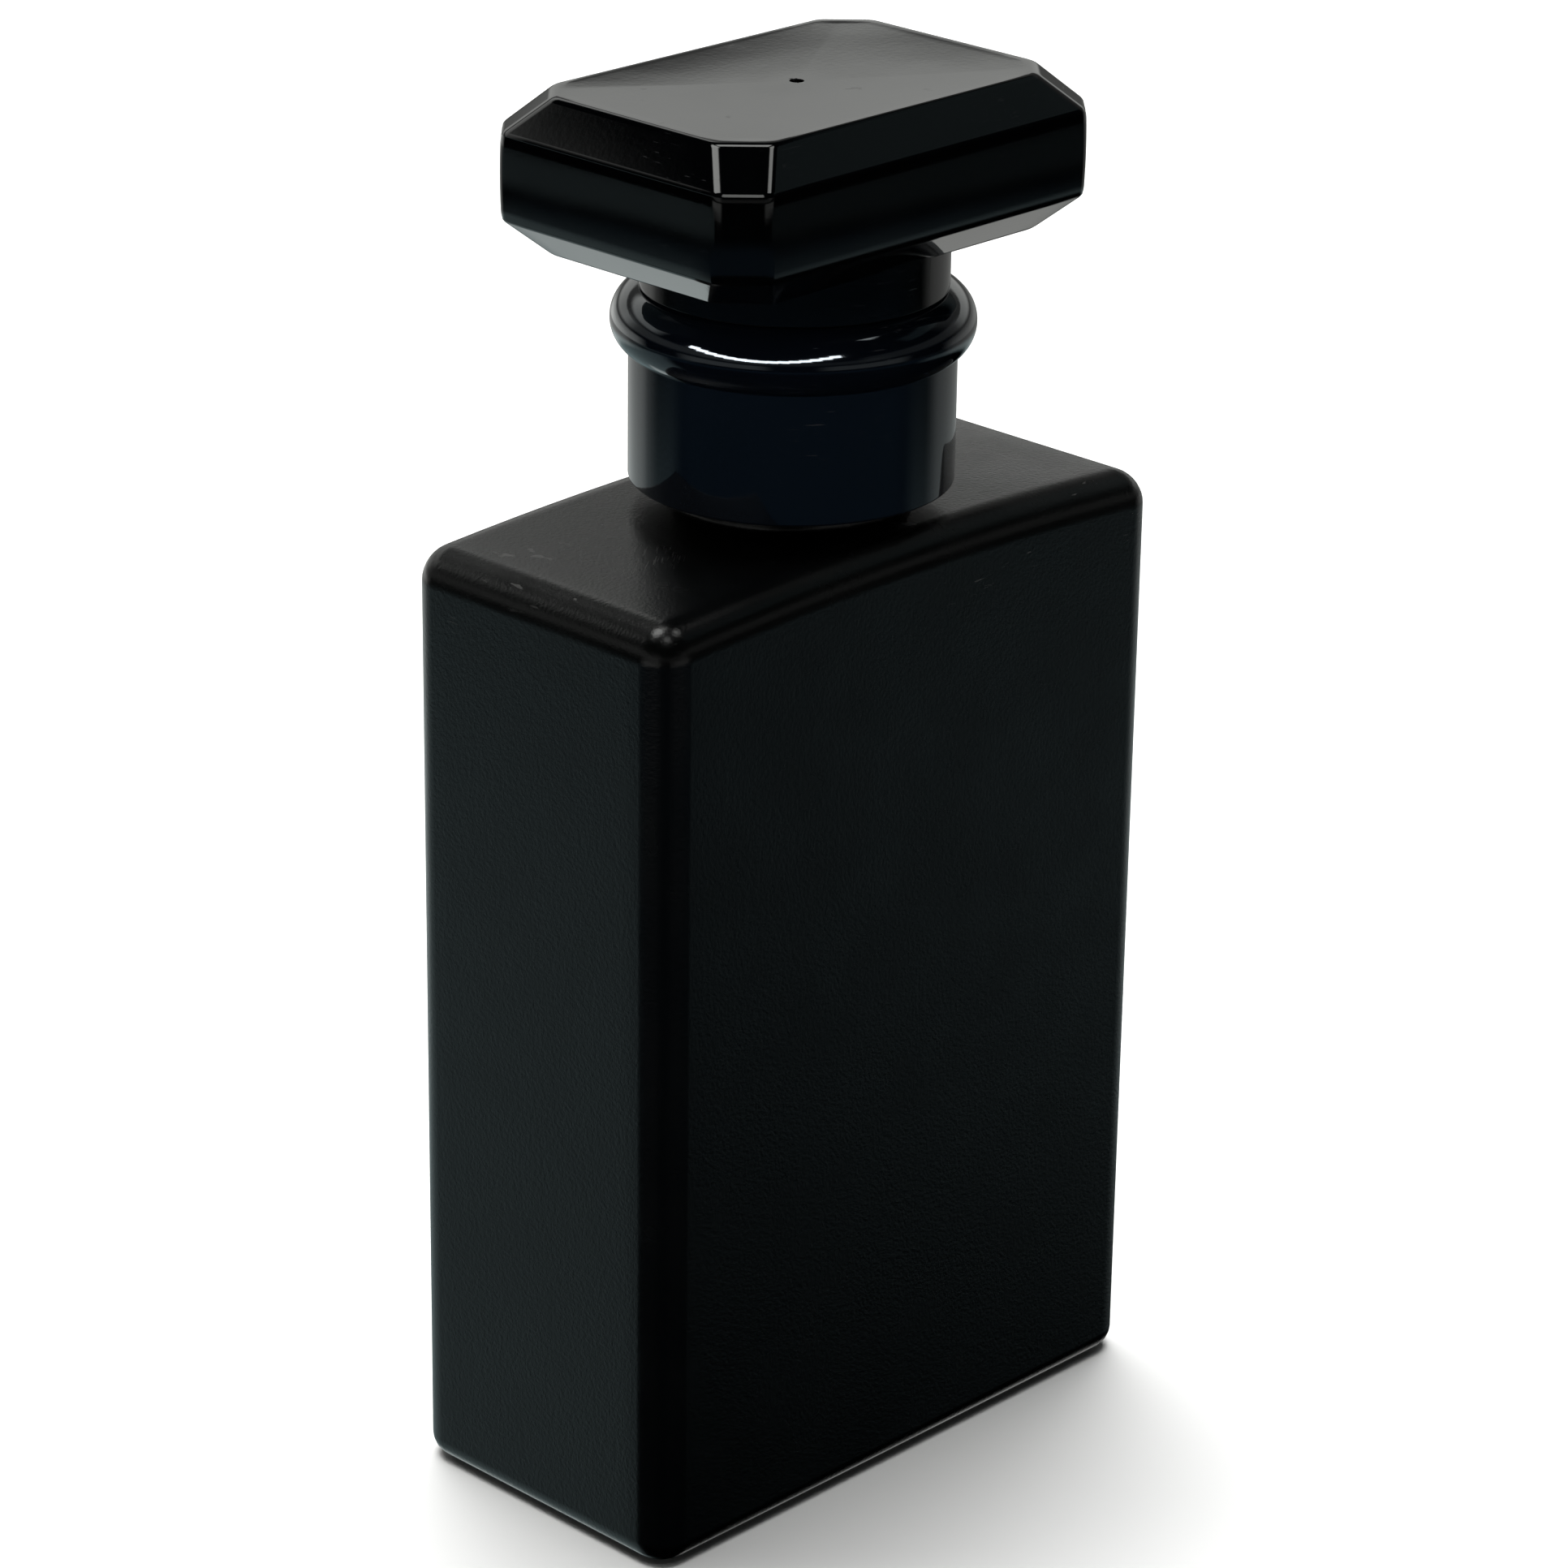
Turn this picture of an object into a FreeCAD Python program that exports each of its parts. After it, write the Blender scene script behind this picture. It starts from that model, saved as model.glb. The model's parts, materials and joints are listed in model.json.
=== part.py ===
import FreeCAD, Part
import math
import os
import re

import Sketcher

# A rectangular glass aftershave bottle with a screw-on spray pump and a bevelled cap.
# Millimetres. +Z is up, the bottle stands on Z = 0, X runs along its wide side and
# Y through its thickness; the Z axis is the axis of the neck, pump and cap.

SIZES = {
    # bottle body
    "body_width": 45.0,
    "body_depth": 23.0,
    "shoulder_end_z": 64.0,
    "shoulder_crown": 0.85,
    "side_edge_radius": 2.3,
    "shoulder_edge_radius": 2.25,
    "heel_radius": 1.6,
    "side_wall": 3.0,
    "base_thickness": 6.0,
    "cavity_top_z": 60.8,
    "cavity_side_radius": 4.0,
    "cavity_end_radius": 2.5,
    "punt_margin": 5.0,
    "punt_depth": 0.5,
    "punt_radius": 3.0,
    # neck and its thread
    "neck_radius": 7.55,
    "neck_bore_radius": 6.1,
    "neck_top_z": 74.5,
    "neck_root_radius": 0.5,
    "thread_pitch": 3.175,
    "thread_turns": 1.25,
    "thread_sink": 0.15,
    "neck_ridge_z": 69.3,
    "neck_ridge_crest": 8.4,
    "neck_ridge_base_half": 1.0,
    "neck_ridge_crest_half": 0.45,
    # gasket between neck and pump
    "gasket_outer": 7.3,
    "gasket_inner": 4.6,
    "gasket_thickness": 1.0,
    # pump housing
    "flange_radius": 7.3,
    "flange_thickness": 0.8,
    "housing_radius": 4.4,
    "housing_bore": 3.45,
    "housing_floor_z": 56.6,
    "ball_cage_radius": 1.5,
    "ball_cage_z": 55.0,
    "ball_seat_z": 54.2,
    "inlet_radius": 0.7,
    "housing_cone_z": 54.8,
    "housing_tail_z": 53.2,
    "tail_shoulder_radius": 3.0,
    "tail_radius": 2.1,
    "tail_end_z": 47.6,
    "tube_stop_z": 53.0,
    # dip tube
    "tube_outer": 1.27,
    "tube_inner": 0.8,
    "tube_end_z": 7.5,
    # pump closure and stem seal
    "closure_plug_z": 72.2,
    "closure_flange": 6.4,
    "closure_flange_thickness": 0.7,
    "turret_radius": 2.8,
    "turret_height": 0.9,
    "stem_clearance": 0.07,
    "seal_thickness": 0.7,
    "seal_clearance": 0.05,
    # stem, piston and what they bear on
    "stem_radius": 1.65,
    "stem_bore": 0.55,
    "stem_top_z": 84.4,
    "stem_bottom_z": 66.8,
    "stem_socket_radius": 1.0,
    "stem_socket_z": 69.6,
    "port_radius": 0.3,
    "port_z": 70.4,
    "piston_radius": 3.40,
    "piston_waist": 2.9,
    "piston_top_z": 71.4,
    "lip_height": 0.7,
    "lip_slope": 0.5,
    "seat_pin_z": 69.5,
    "seat_radius": 2.9,
    "seat_foot_z": 65.2,
    "seat_guide_radius": 1.7,
    "seat_guide_z": 62.5,
    # return spring and inlet ball
    "spring_mean_radius": 2.4,
    "wire_radius": 0.225,
    "spring_turns": 5.5,
    "ball_radius": 1.2,
    "ball_z": 55.2,
    # screw ferrule
    "ferrule_outer": 9.6,
    "ferrule_inner": 8.7,
    "ferrule_bottom_z": 66.7,
    "ferrule_step_z": 74.9,
    "ferrule_step_radius": 7.6,
    "ferrule_plate_z": 77.0,
    "ferrule_plate_thickness": 0.7,
    "ferrule_plate_hole": 4.5,
    "ferrule_ridge_tip": 7.85,
    "ferrule_ridge_base_half": 0.95,
    "ferrule_ridge_tip_half": 0.42,
    # collar
    "collar_radius": 10.38,
    "collar_bottom_z": 66.4,
    "collar_rim_radius": 0.15,
    "collar_plate_z": 77.7,
    "collar_top_z": 78.9,
    "bead_centre_radius": 9.4,
    "bead_ring_radius": 2.15,
    "bead_z": 76.75,
    "spigot_outer": 7.5,
    "spigot_inner": 6.85,
    "spigot_top_z": 82.6,
    # actuator button and nozzle
    "button_radius": 6.5,
    "button_bottom_z": 82.2,
    "button_top_z": 88.0,
    "button_skirt_inner": 5.3,
    "button_ceiling_z": 83.4,
    "button_boss_radius": 3.2,
    "button_boss_z": 82.5,
    "button_socket_z": 84.5,
    "button_edge_radius": 0.6,
    "dish_sphere_radius": 16.0,
    "dish_depth": 0.9,
    "channel_radius": 0.5,
    "nozzle_z": 85.4,
    "nozzle_radius": 1.9,
    "nozzle_seat_y": 3.9,
    "nozzle_length": 2.4,
    "swirl_radius": 0.8,
    "swirl_depth": 0.6,
    "orifice_radius": 0.2,
    # cap
    "cap_width": 32.7,
    "cap_depth": 23.2,
    "cap_corner_cut": 2.24,
    "cap_facet_cut": 2.48,
    "cap_bevel_inset": 2.19,
    "cap_underside_z": 82.05,
    "cap_girdle_low_z": 84.3,
    "cap_girdle_high_z": 89.6,
    "cap_top_z": 92.06,
    "cap_edge_radius": 0.2,
    "skirt_radius": 9.81,
    "skirt_bottom_z": 79.0,
    "cap_bore_radius": 8.56,
    "cap_bore_top_z": 89.3,
    "sink_radius": 8.6,
    "sink_depth": 0.15,
    "gate_radius": 0.45,
    "gate_depth": 0.25,
    "liner_outer": 8.5,
    "liner_inner": 7.56,
    "liner_top_z": 89.2,
    "liner_roof": 0.6,
}

DOC = FreeCAD.newDocument("aftershave_bottle")


def make_sheet():
    """Write every driving size to a spreadsheet, one alias per row."""
    sheet = DOC.addObject("Spreadsheet::Sheet", "Sizes")
    for row, (alias, size) in enumerate(SIZES.items(), start=1):
        sheet.set("A%d" % row, alias)
        sheet.set("B%d" % row, str(size))
        sheet.setAlias("B%d" % row, alias)
    DOC.recompute()
    return sheet


SHEET = make_sheet()


def bound(formula):
    """Turn a formula in size names into an expression on the spreadsheet."""
    return re.sub(r"[a-z][a-z0-9_]+", lambda word: prefixed(word.group(0)), formula)


def prefixed(word):
    """Prefix a size name with its sheet and leave function names alone."""
    return "Sizes." + word if word in SIZES else word


def number(formula):
    """Give the present value of a formula in size names."""
    return float(SHEET.evalExpression(bound(formula)))


def new_body(node):
    """Start a body whose label is the node's name."""
    body = DOC.addObject("PartDesign::Body", node)
    body.Label = node
    body.Placement = FreeCAD.Placement()
    return body


def origin_plane(body, role):
    """Find one of the body's own origin planes."""
    return next(item for item in body.Origin.OriginFeatures if item.Role == role)


def new_sketch(body, name, role, offset="0"):
    """Attach a sketch to an origin plane, moved along the plane's normal."""
    sketch = body.newObject("Sketcher::SketchObject", body.Name + "_" + name)
    sketch.AttachmentSupport = [(origin_plane(body, role), "")]
    sketch.MapMode = "FlatFace"
    sketch.setExpression("AttachmentOffset.Base.z", bound(offset))
    return sketch


def pin(sketch, index, end, across, up):
    """Hold one point of a sketch at the two given formulas."""
    for kind, axis, formula in (("DistanceX", -2, across), ("DistanceY", -1, up)):
        if formula == "0":
            sketch.addConstraint(Sketcher.Constraint("PointOnObject", index, end, axis))
            continue
        rule = Sketcher.Constraint(kind, -1, 1, index, end, number(formula))
        at = sketch.addConstraint(rule)
        sketch.setExpression("Constraints[%d]" % at, bound(formula))


def draw_outline(sketch, corners):
    """Draw a closed outline of straight edges through the corners."""
    points = [FreeCAD.Vector(number(across), number(up), 0) for across, up in corners]
    count = len(points)
    for index in range(count):
        sketch.addGeometry(Part.LineSegment(points[index], points[(index + 1) % count]))
    for index in range(count):
        following = (index + 1) % count
        sketch.addConstraint(Sketcher.Constraint("Coincident", index, 2, following, 1))
    for index, (across, up) in enumerate(corners):
        pin(sketch, index, 1, across, up)


def draw_circle(sketch, radius, across="0", up="0"):
    """Draw a circle of the given radius about a point."""
    centre = FreeCAD.Vector(number(across), number(up), 0)
    circle = Part.Circle(centre, FreeCAD.Vector(0, 0, 1), number(radius))
    index = sketch.addGeometry(circle)
    if across == "0" and up == "0":
        sketch.addConstraint(Sketcher.Constraint("Coincident", index, 3, -1, 1))
    else:
        pin(sketch, index, 3, across, up)
    at = sketch.addConstraint(Sketcher.Constraint("Radius", index, number(radius)))
    sketch.setExpression("Constraints[%d]" % at, bound(radius))


def rectangle(half_width, half_depth):
    """Corners of a rectangle centred on the axis."""
    return [
        ("-(%s)" % half_width, "-(%s)" % half_depth),
        (half_width, "-(%s)" % half_depth),
        (half_width, half_depth),
        ("-(%s)" % half_width, half_depth),
    ]


def octagon(half_width, half_depth, cut):
    """Corners of a rectangle with its four corners cut at 45 degrees."""
    near_width = "%s - %s" % (half_width, cut)
    near_depth = "%s - %s" % (half_depth, cut)
    corners = []
    for across, up in (
        (near_width, "-(%s)" % half_depth),
        (half_width, "-(%s)" % near_depth),
        (half_width, near_depth),
        (near_width, half_depth),
    ):
        corners.append((across, up))
    mirrored = [("-(%s)" % across, flipped(up)) for across, up in corners]
    return corners + mirrored


def flipped(formula):
    """Change the sign of a formula."""
    if formula.startswith("-(") and formula.endswith(")"):
        return formula[2:-1]
    return "-(%s)" % formula


def extrude(body, kind, sketch, length, name, reverse=False):
    """Pad or pocket a sketch by a length."""
    feature = body.newObject("PartDesign::" + kind, body.Name + "_" + name)
    feature.Profile = sketch
    feature.Type = "Length"
    feature.setExpression("Length", bound(length))
    feature.Reversed = reverse
    return feature


def turn(body, kind, sketch, name):
    """Revolve a sketch a full turn about its vertical axis."""
    feature = body.newObject("PartDesign::" + kind, body.Name + "_" + name)
    feature.Profile = sketch
    feature.ReferenceAxis = (sketch, ["V_Axis"])
    feature.Angle = 360.0
    return feature


def turned(body, kind, name, corners):
    """Revolve an outline in the XZ plane about the Z axis."""
    sketch = new_sketch(body, name + "_outline", "XZ_Plane")
    draw_outline(sketch, corners)
    return turn(body, kind, sketch, name)


def wind(body, sketch, name, pitch, turns):
    """Sweep a sketch along a right-handed helix about the Z axis."""
    feature = body.newObject("PartDesign::AdditiveHelix", body.Name + "_" + name)
    feature.Profile = sketch
    feature.ReferenceAxis = (sketch, ["V_Axis"])
    feature.Mode = "pitch-turns-angle"
    feature.setExpression("Pitch", bound(pitch))
    feature.setExpression("Turns", bound(turns))
    feature.LeftHanded = False
    return feature


def round_edges(body, base, wanted, radius, name):
    """Fillet the edges of a feature that pass the given test."""
    names = []
    for index, edge in enumerate(base.Shape.Edges, start=1):
        if wanted(edge):
            names.append("Edge%d" % index)
    feature = body.newObject("PartDesign::Fillet", body.Name + "_" + name)
    feature.Base = (base, names)
    feature.setExpression("Radius", bound(radius))
    DOC.recompute()
    return feature


def finish(body):
    """Make the last feature the body's result."""
    body.Tip = body.Group[-1]
    DOC.recompute()
    return body


def level(edge, height, slack=0.01):
    """Say whether an edge lies flat at a height."""
    box = edge.BoundBox
    return abs(box.ZMin - height) < slack and abs(box.ZMax - height) < slack


def upright(edge, slack=0.01):
    """Say whether an edge is a vertical straight line."""
    box = edge.BoundBox
    return box.XLength < slack and box.YLength < slack and box.ZLength > slack


def on_crown(edge):
    """Say whether an edge lies on the crowned shoulder of the bottle block."""
    return edge.BoundBox.ZMin > number("shoulder_end_z") - 0.05


def draw_block_front(sketch):
    """Draw the bottle's front outline: three straight sides and a crowned shoulder."""
    half = number("body_width / 2")
    end = number("shoulder_end_z")
    rise = number("shoulder_crown")
    corners = [(-half, end), (-half, 0.0), (half, 0.0), (half, end)]
    points = [FreeCAD.Vector(across, up, 0) for across, up in corners]
    for first, second in zip(points, points[1:]):
        sketch.addGeometry(Part.LineSegment(first, second))
    peak = FreeCAD.Vector(0, end + rise, 0)
    crown = sketch.addGeometry(Part.Arc(points[3], peak, points[0]))
    for index in range(2):
        sketch.addConstraint(Sketcher.Constraint("Coincident", index, 2, index + 1, 1))
    sketch.addConstraint(Sketcher.Constraint("Coincident", 2, 2, crown, 1))
    sketch.addConstraint(Sketcher.Constraint("Coincident", 0, 1, crown, 2))
    pin(sketch, 0, 1, "-(body_width / 2)", "shoulder_end_z")
    pin(sketch, 1, 1, "-(body_width / 2)", "0")
    pin(sketch, 2, 1, "body_width / 2", "0")
    pin(sketch, 2, 2, "body_width / 2", "shoulder_end_z")
    formula = "((body_width / 2)^2 + shoulder_crown^2) / (2 * shoulder_crown)"
    rule = Sketcher.Constraint("Radius", crown, number(formula))
    at = sketch.addConstraint(rule)
    sketch.setExpression("Constraints[%d]" % at, bound(formula))


def add_bottle_block(body):
    """The solid block of the bottle with all its outer edges rounded."""
    front = new_sketch(body, "front", "XZ_Plane")
    draw_block_front(front)
    block = extrude(body, "Pad", front, "body_depth", "block")
    block.SideType = "Symmetric"
    DOC.recompute()
    sides = round_edges(body, block, upright, "side_edge_radius", "side_edges")
    shoulder = round_edges(body, sides, on_crown, "shoulder_edge_radius", "shoulder_edge")
    return round_edges(body, shoulder, lambda edge: level(edge, 0.0), "heel_radius", "heel")


def add_bottle_neck(body):
    """The neck with its root radius and one and a quarter turns of thread."""
    sketch = new_sketch(body, "neck_circle", "XY_Plane", "cavity_top_z")
    draw_circle(sketch, "neck_radius")
    neck = extrude(body, "Pad", sketch, "neck_top_z - cavity_top_z", "neck")
    DOC.recompute()

    def at_root(edge):
        box = edge.BoundBox
        wide = abs(box.XLength - number("2 * neck_radius")) < 0.01
        return wide and box.ZMax < number("neck_top_z") - 1.0

    round_edges(body, neck, at_root, "neck_root_radius", "neck_root")
    ridge = new_sketch(body, "ridge", "XZ_Plane")
    draw_outline(ridge, [
        ("neck_radius - thread_sink", "neck_ridge_z - neck_ridge_base_half"),
        ("neck_ridge_crest", "neck_ridge_z - neck_ridge_crest_half"),
        ("neck_ridge_crest", "neck_ridge_z + neck_ridge_crest_half"),
        ("neck_radius - thread_sink", "neck_ridge_z + neck_ridge_base_half"),
    ])
    wind(body, ridge, "thread", "thread_pitch", "thread_turns")
    DOC.recompute()


def hollow_bottle(body):
    """Cut the inside of the bottle, the neck bore and the shallow base recess."""
    room = new_sketch(body, "cavity_outline", "XY_Plane", "base_thickness")
    draw_outline(room, rectangle("body_width / 2 - side_wall", "body_depth / 2 - side_wall"))
    height = "cavity_top_z - base_thickness"
    cavity = extrude(body, "Pocket", room, height, "cavity", reverse=True)
    DOC.recompute()

    def inner_upright(edge):
        from_wall = abs(edge.BoundBox.Center.x) - number("body_width / 2 - side_wall")
        return upright(edge) and abs(from_wall) < 0.01

    walls = round_edges(body, cavity, inner_upright, "cavity_side_radius", "cavity_sides")

    def at_cavity_end(edge):
        floor = level(edge, number("base_thickness"))
        return floor or level(edge, number("cavity_top_z"))

    round_edges(body, walls, at_cavity_end, "cavity_end_radius", "cavity_ends")
    bore = new_sketch(body, "bore_circle", "XY_Plane", "neck_top_z")
    draw_circle(bore, "neck_bore_radius")
    extrude(body, "Pocket", bore, "neck_top_z - cavity_top_z + thread_pitch", "bore")
    DOC.recompute()
    punt = new_sketch(body, "punt_outline", "XY_Plane")
    draw_outline(punt, rectangle("body_width / 2 - punt_margin", "body_depth / 2 - punt_margin"))
    recess = extrude(body, "Pocket", punt, "punt_depth", "punt", reverse=True)
    DOC.recompute()

    def at_punt_corner(edge):
        low = edge.BoundBox.ZMax < number("punt_depth") + 0.01
        return upright(edge) and low

    round_edges(body, recess, at_punt_corner, "punt_radius", "punt_corners")


def glass_bottle():
    """Heavy rectangular flacon, hollow, with a threaded neck."""
    body = new_body("glass_bottle")
    add_bottle_block(body)
    add_bottle_neck(body)
    hollow_bottle(body)
    return finish(body)


def neck_gasket():
    """Flat sealing ring between the neck's lip and the pump's flange."""
    body = new_body("neck_gasket")
    top = "neck_top_z + gasket_thickness"
    turned(body, "Revolution", "ring", [
        ("gasket_inner", "neck_top_z"),
        ("gasket_outer", "neck_top_z"),
        ("gasket_outer", top),
        ("gasket_inner", top),
    ])
    return finish(body)


def pump_housing():
    """Pump cylinder with its flange, ball seat and the tail that holds the dip tube."""
    body = new_body("pump_housing")
    flange_low = "neck_top_z + gasket_thickness"
    flange_top = flange_low + " + flange_thickness"
    turned(body, "Revolution", "shell", [
        ("housing_bore", flange_top),
        ("housing_bore", "housing_floor_z"),
        ("ball_cage_radius", "housing_floor_z"),
        ("ball_cage_radius", "ball_cage_z"),
        ("inlet_radius", "ball_seat_z"),
        ("inlet_radius", "tube_stop_z"),
        ("tube_outer", "tube_stop_z"),
        ("tube_outer", "tail_end_z"),
        ("tail_radius", "tail_end_z"),
        ("tail_radius", "housing_tail_z"),
        ("tail_shoulder_radius", "housing_tail_z"),
        ("housing_radius", "housing_cone_z"),
        ("housing_radius", flange_low),
        ("flange_radius", flange_low),
        ("flange_radius", flange_top),
    ])
    return finish(body)


def dip_tube():
    """Straight tube from the pump's tail to just above the bottle's floor."""
    body = new_body("dip_tube")
    turned(body, "Revolution", "tube", [
        ("tube_inner", "tube_end_z"),
        ("tube_outer", "tube_end_z"),
        ("tube_outer", "tube_stop_z"),
        ("tube_inner", "tube_stop_z"),
    ])
    return finish(body)


def pump_closure():
    """Plug that closes the pump housing and guides the stem."""
    body = new_body("pump_closure")
    bore = "stem_radius + stem_clearance"
    flange_low = "neck_top_z + gasket_thickness + flange_thickness"
    flange_top = flange_low + " + closure_flange_thickness"
    turret_top = flange_top + " + turret_height"
    turned(body, "Revolution", "plug", [
        (bore, "closure_plug_z"),
        ("housing_bore", "closure_plug_z"),
        ("housing_bore", flange_low),
        ("closure_flange", flange_low),
        ("closure_flange", flange_top),
        ("turret_radius", flange_top),
        ("turret_radius", turret_top),
        (bore, turret_top),
    ])
    return finish(body)


def stem_gasket():
    """Sealing washer under the closure, around the stem."""
    body = new_body("stem_gasket")
    low = "closure_plug_z - seal_thickness"
    turned(body, "Revolution", "washer", [
        ("stem_radius + seal_clearance", low),
        ("housing_bore", low),
        ("housing_bore", "closure_plug_z"),
        ("stem_radius + seal_clearance", "closure_plug_z"),
    ])
    return finish(body)


def stem():
    """Hollow stem with a cross port that the piston covers at rest."""
    body = new_body("stem")
    turned(body, "Revolution", "rod", [
        ("stem_bore", "stem_top_z"),
        ("stem_radius", "stem_top_z"),
        ("stem_radius", "stem_bottom_z"),
        ("stem_socket_radius", "stem_bottom_z"),
        ("stem_socket_radius", "stem_socket_z"),
        ("stem_bore", "stem_socket_z"),
    ])
    port = new_sketch(body, "port_circle", "XZ_Plane")
    draw_circle(port, "port_radius", up="port_z")
    hole = extrude(body, "Pocket", port, "4 * stem_radius", "port")
    hole.SideType = "Symmetric"
    return finish(body)


def piston():
    """Two-lipped piston around the stem."""
    body = new_body("piston")
    turned(body, "Revolution", "lips", [
        ("stem_radius", "stem_bottom_z"),
        ("piston_radius", "stem_bottom_z"),
        ("piston_radius", "stem_bottom_z + lip_height"),
        ("piston_waist", "stem_bottom_z + lip_height + lip_slope"),
        ("piston_waist", "piston_top_z - lip_height - lip_slope"),
        ("piston_radius", "piston_top_z - lip_height"),
        ("piston_radius", "piston_top_z"),
        ("stem_radius", "piston_top_z"),
    ])
    return finish(body)


def piston_seat():
    """Core pressed into the stem; the piston sits on it and the spring pushes on it."""
    body = new_body("piston_seat")
    turned(body, "Revolution", "core", [
        ("0", "seat_pin_z"),
        ("0", "seat_guide_z"),
        ("seat_guide_radius", "seat_guide_z"),
        ("seat_guide_radius", "seat_foot_z"),
        ("seat_radius", "seat_foot_z"),
        ("seat_radius", "stem_bottom_z"),
        ("stem_socket_radius", "stem_bottom_z"),
        ("stem_socket_radius", "seat_pin_z"),
    ])
    return finish(body)


def main_spring():
    """Return spring between the housing floor and the piston seat."""
    body = new_body("main_spring")
    wire = new_sketch(body, "wire_circle", "XZ_Plane")
    draw_circle(wire, "wire_radius", "spring_mean_radius", "housing_floor_z + wire_radius")
    rise = "(seat_foot_z - housing_floor_z - 2 * wire_radius) / spring_turns"
    wind(body, wire, "coil", rise, "spring_turns")
    return finish(body)


def inlet_ball():
    """Steel ball of the inlet valve, resting on its conical seat."""
    ball = DOC.addObject("Part::Sphere", "inlet_ball")
    ball.Label = "inlet_ball"
    ball.setExpression("Radius", bound("ball_radius"))
    ball.setExpression("Placement.Base.z", bound("ball_z"))
    DOC.recompute()
    return ball


def screw_ferrule():
    """Threaded inner closure that clamps the pump onto the neck."""
    body = new_body("screw_ferrule")
    plate_top = "ferrule_plate_z + ferrule_plate_thickness"
    turned(body, "Revolution", "shell", [
        ("ferrule_inner", "ferrule_bottom_z"),
        ("ferrule_outer", "ferrule_bottom_z"),
        ("ferrule_outer", plate_top),
        ("ferrule_plate_hole", plate_top),
        ("ferrule_plate_hole", "ferrule_plate_z"),
        ("ferrule_step_radius", "ferrule_plate_z"),
        ("ferrule_step_radius", "ferrule_step_z"),
        ("ferrule_inner", "ferrule_step_z"),
    ])
    middle = "neck_ridge_z - thread_pitch / 2"
    ridge = new_sketch(body, "ridge", "XZ_Plane")
    draw_outline(ridge, [
        ("ferrule_inner + thread_sink", middle + " - ferrule_ridge_base_half"),
        ("ferrule_inner + thread_sink", middle + " + ferrule_ridge_base_half"),
        ("ferrule_ridge_tip", middle + " + ferrule_ridge_tip_half"),
        ("ferrule_ridge_tip", middle + " - ferrule_ridge_tip_half"),
    ])
    wind(body, ridge, "thread", "thread_pitch", "thread_turns")
    return finish(body)


def collar():
    """Glossy outer collar with a round bead and the round seat for the cap."""
    body = new_body("collar")
    turned(body, "Revolution", "sleeve", [
        ("ferrule_outer", "collar_bottom_z"),
        ("collar_radius", "collar_bottom_z"),
        ("collar_radius", "bead_z"),
        ("ferrule_outer", "bead_z"),
    ])
    ring = new_sketch(body, "bead_circle", "XZ_Plane")
    draw_circle(ring, "bead_ring_radius", "bead_centre_radius", "bead_z")
    turn(body, "Revolution", ring, "bead")
    turned(body, "Groove", "bore", [
        ("0", "collar_bottom_z"),
        ("ferrule_outer", "collar_bottom_z"),
        ("ferrule_outer", "collar_plate_z"),
        ("0", "collar_plate_z"),
    ])
    turned(body, "Revolution", "seat", [
        ("spigot_inner", "collar_plate_z"),
        ("ferrule_outer", "collar_plate_z"),
        ("bead_centre_radius", "collar_top_z"),
        ("spigot_outer", "collar_top_z"),
        ("spigot_outer", "spigot_top_z"),
        ("spigot_inner", "spigot_top_z"),
    ])
    DOC.recompute()

    def at_rim(edge):
        wide = edge.BoundBox.XLength > number("collar_radius + ferrule_outer")
        return level(edge, number("collar_bottom_z")) and wide

    round_edges(body, body.Group[-1], at_rim, "collar_rim_radius", "rim")
    return finish(body)


def actuator_button():
    """Round push button with a finger dish, a stem socket and a nozzle bore."""
    body = new_body("actuator_button")
    socket = "stem_radius + seal_clearance"
    turned(body, "Revolution", "block", [
        ("channel_radius", "nozzle_z"),
        ("channel_radius", "button_socket_z"),
        (socket, "button_socket_z"),
        (socket, "button_boss_z"),
        ("button_boss_radius", "button_boss_z"),
        ("button_boss_radius", "button_ceiling_z"),
        ("button_skirt_inner", "button_ceiling_z"),
        ("button_skirt_inner", "button_bottom_z"),
        ("button_radius", "button_bottom_z"),
        ("button_radius", "button_top_z"),
        ("0", "button_top_z"),
        ("0", "nozzle_z"),
    ])
    DOC.recompute()

    def at_top(edge):
        return level(edge, number("button_top_z"))

    round_edges(body, body.Group[-1], at_top, "button_edge_radius", "top_edge")
    dish = new_sketch(body, "dish_arc", "XZ_Plane")
    draw_sphere_half(dish, "dish_sphere_radius", "button_top_z - dish_depth")
    turn(body, "Groove", dish, "dish")
    DOC.recompute()
    seat = new_sketch(body, "nozzle_circle", "XZ_Plane", "nozzle_seat_y")
    draw_circle(seat, "nozzle_radius", up="nozzle_z")
    extrude(body, "Pocket", seat, "button_radius", "nozzle_bore", reverse=True)
    duct = new_sketch(body, "duct_circle", "XZ_Plane")
    draw_circle(duct, "channel_radius", up="nozzle_z")
    extrude(body, "Pocket", duct, "button_radius", "duct", reverse=True)
    return finish(body)


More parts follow.
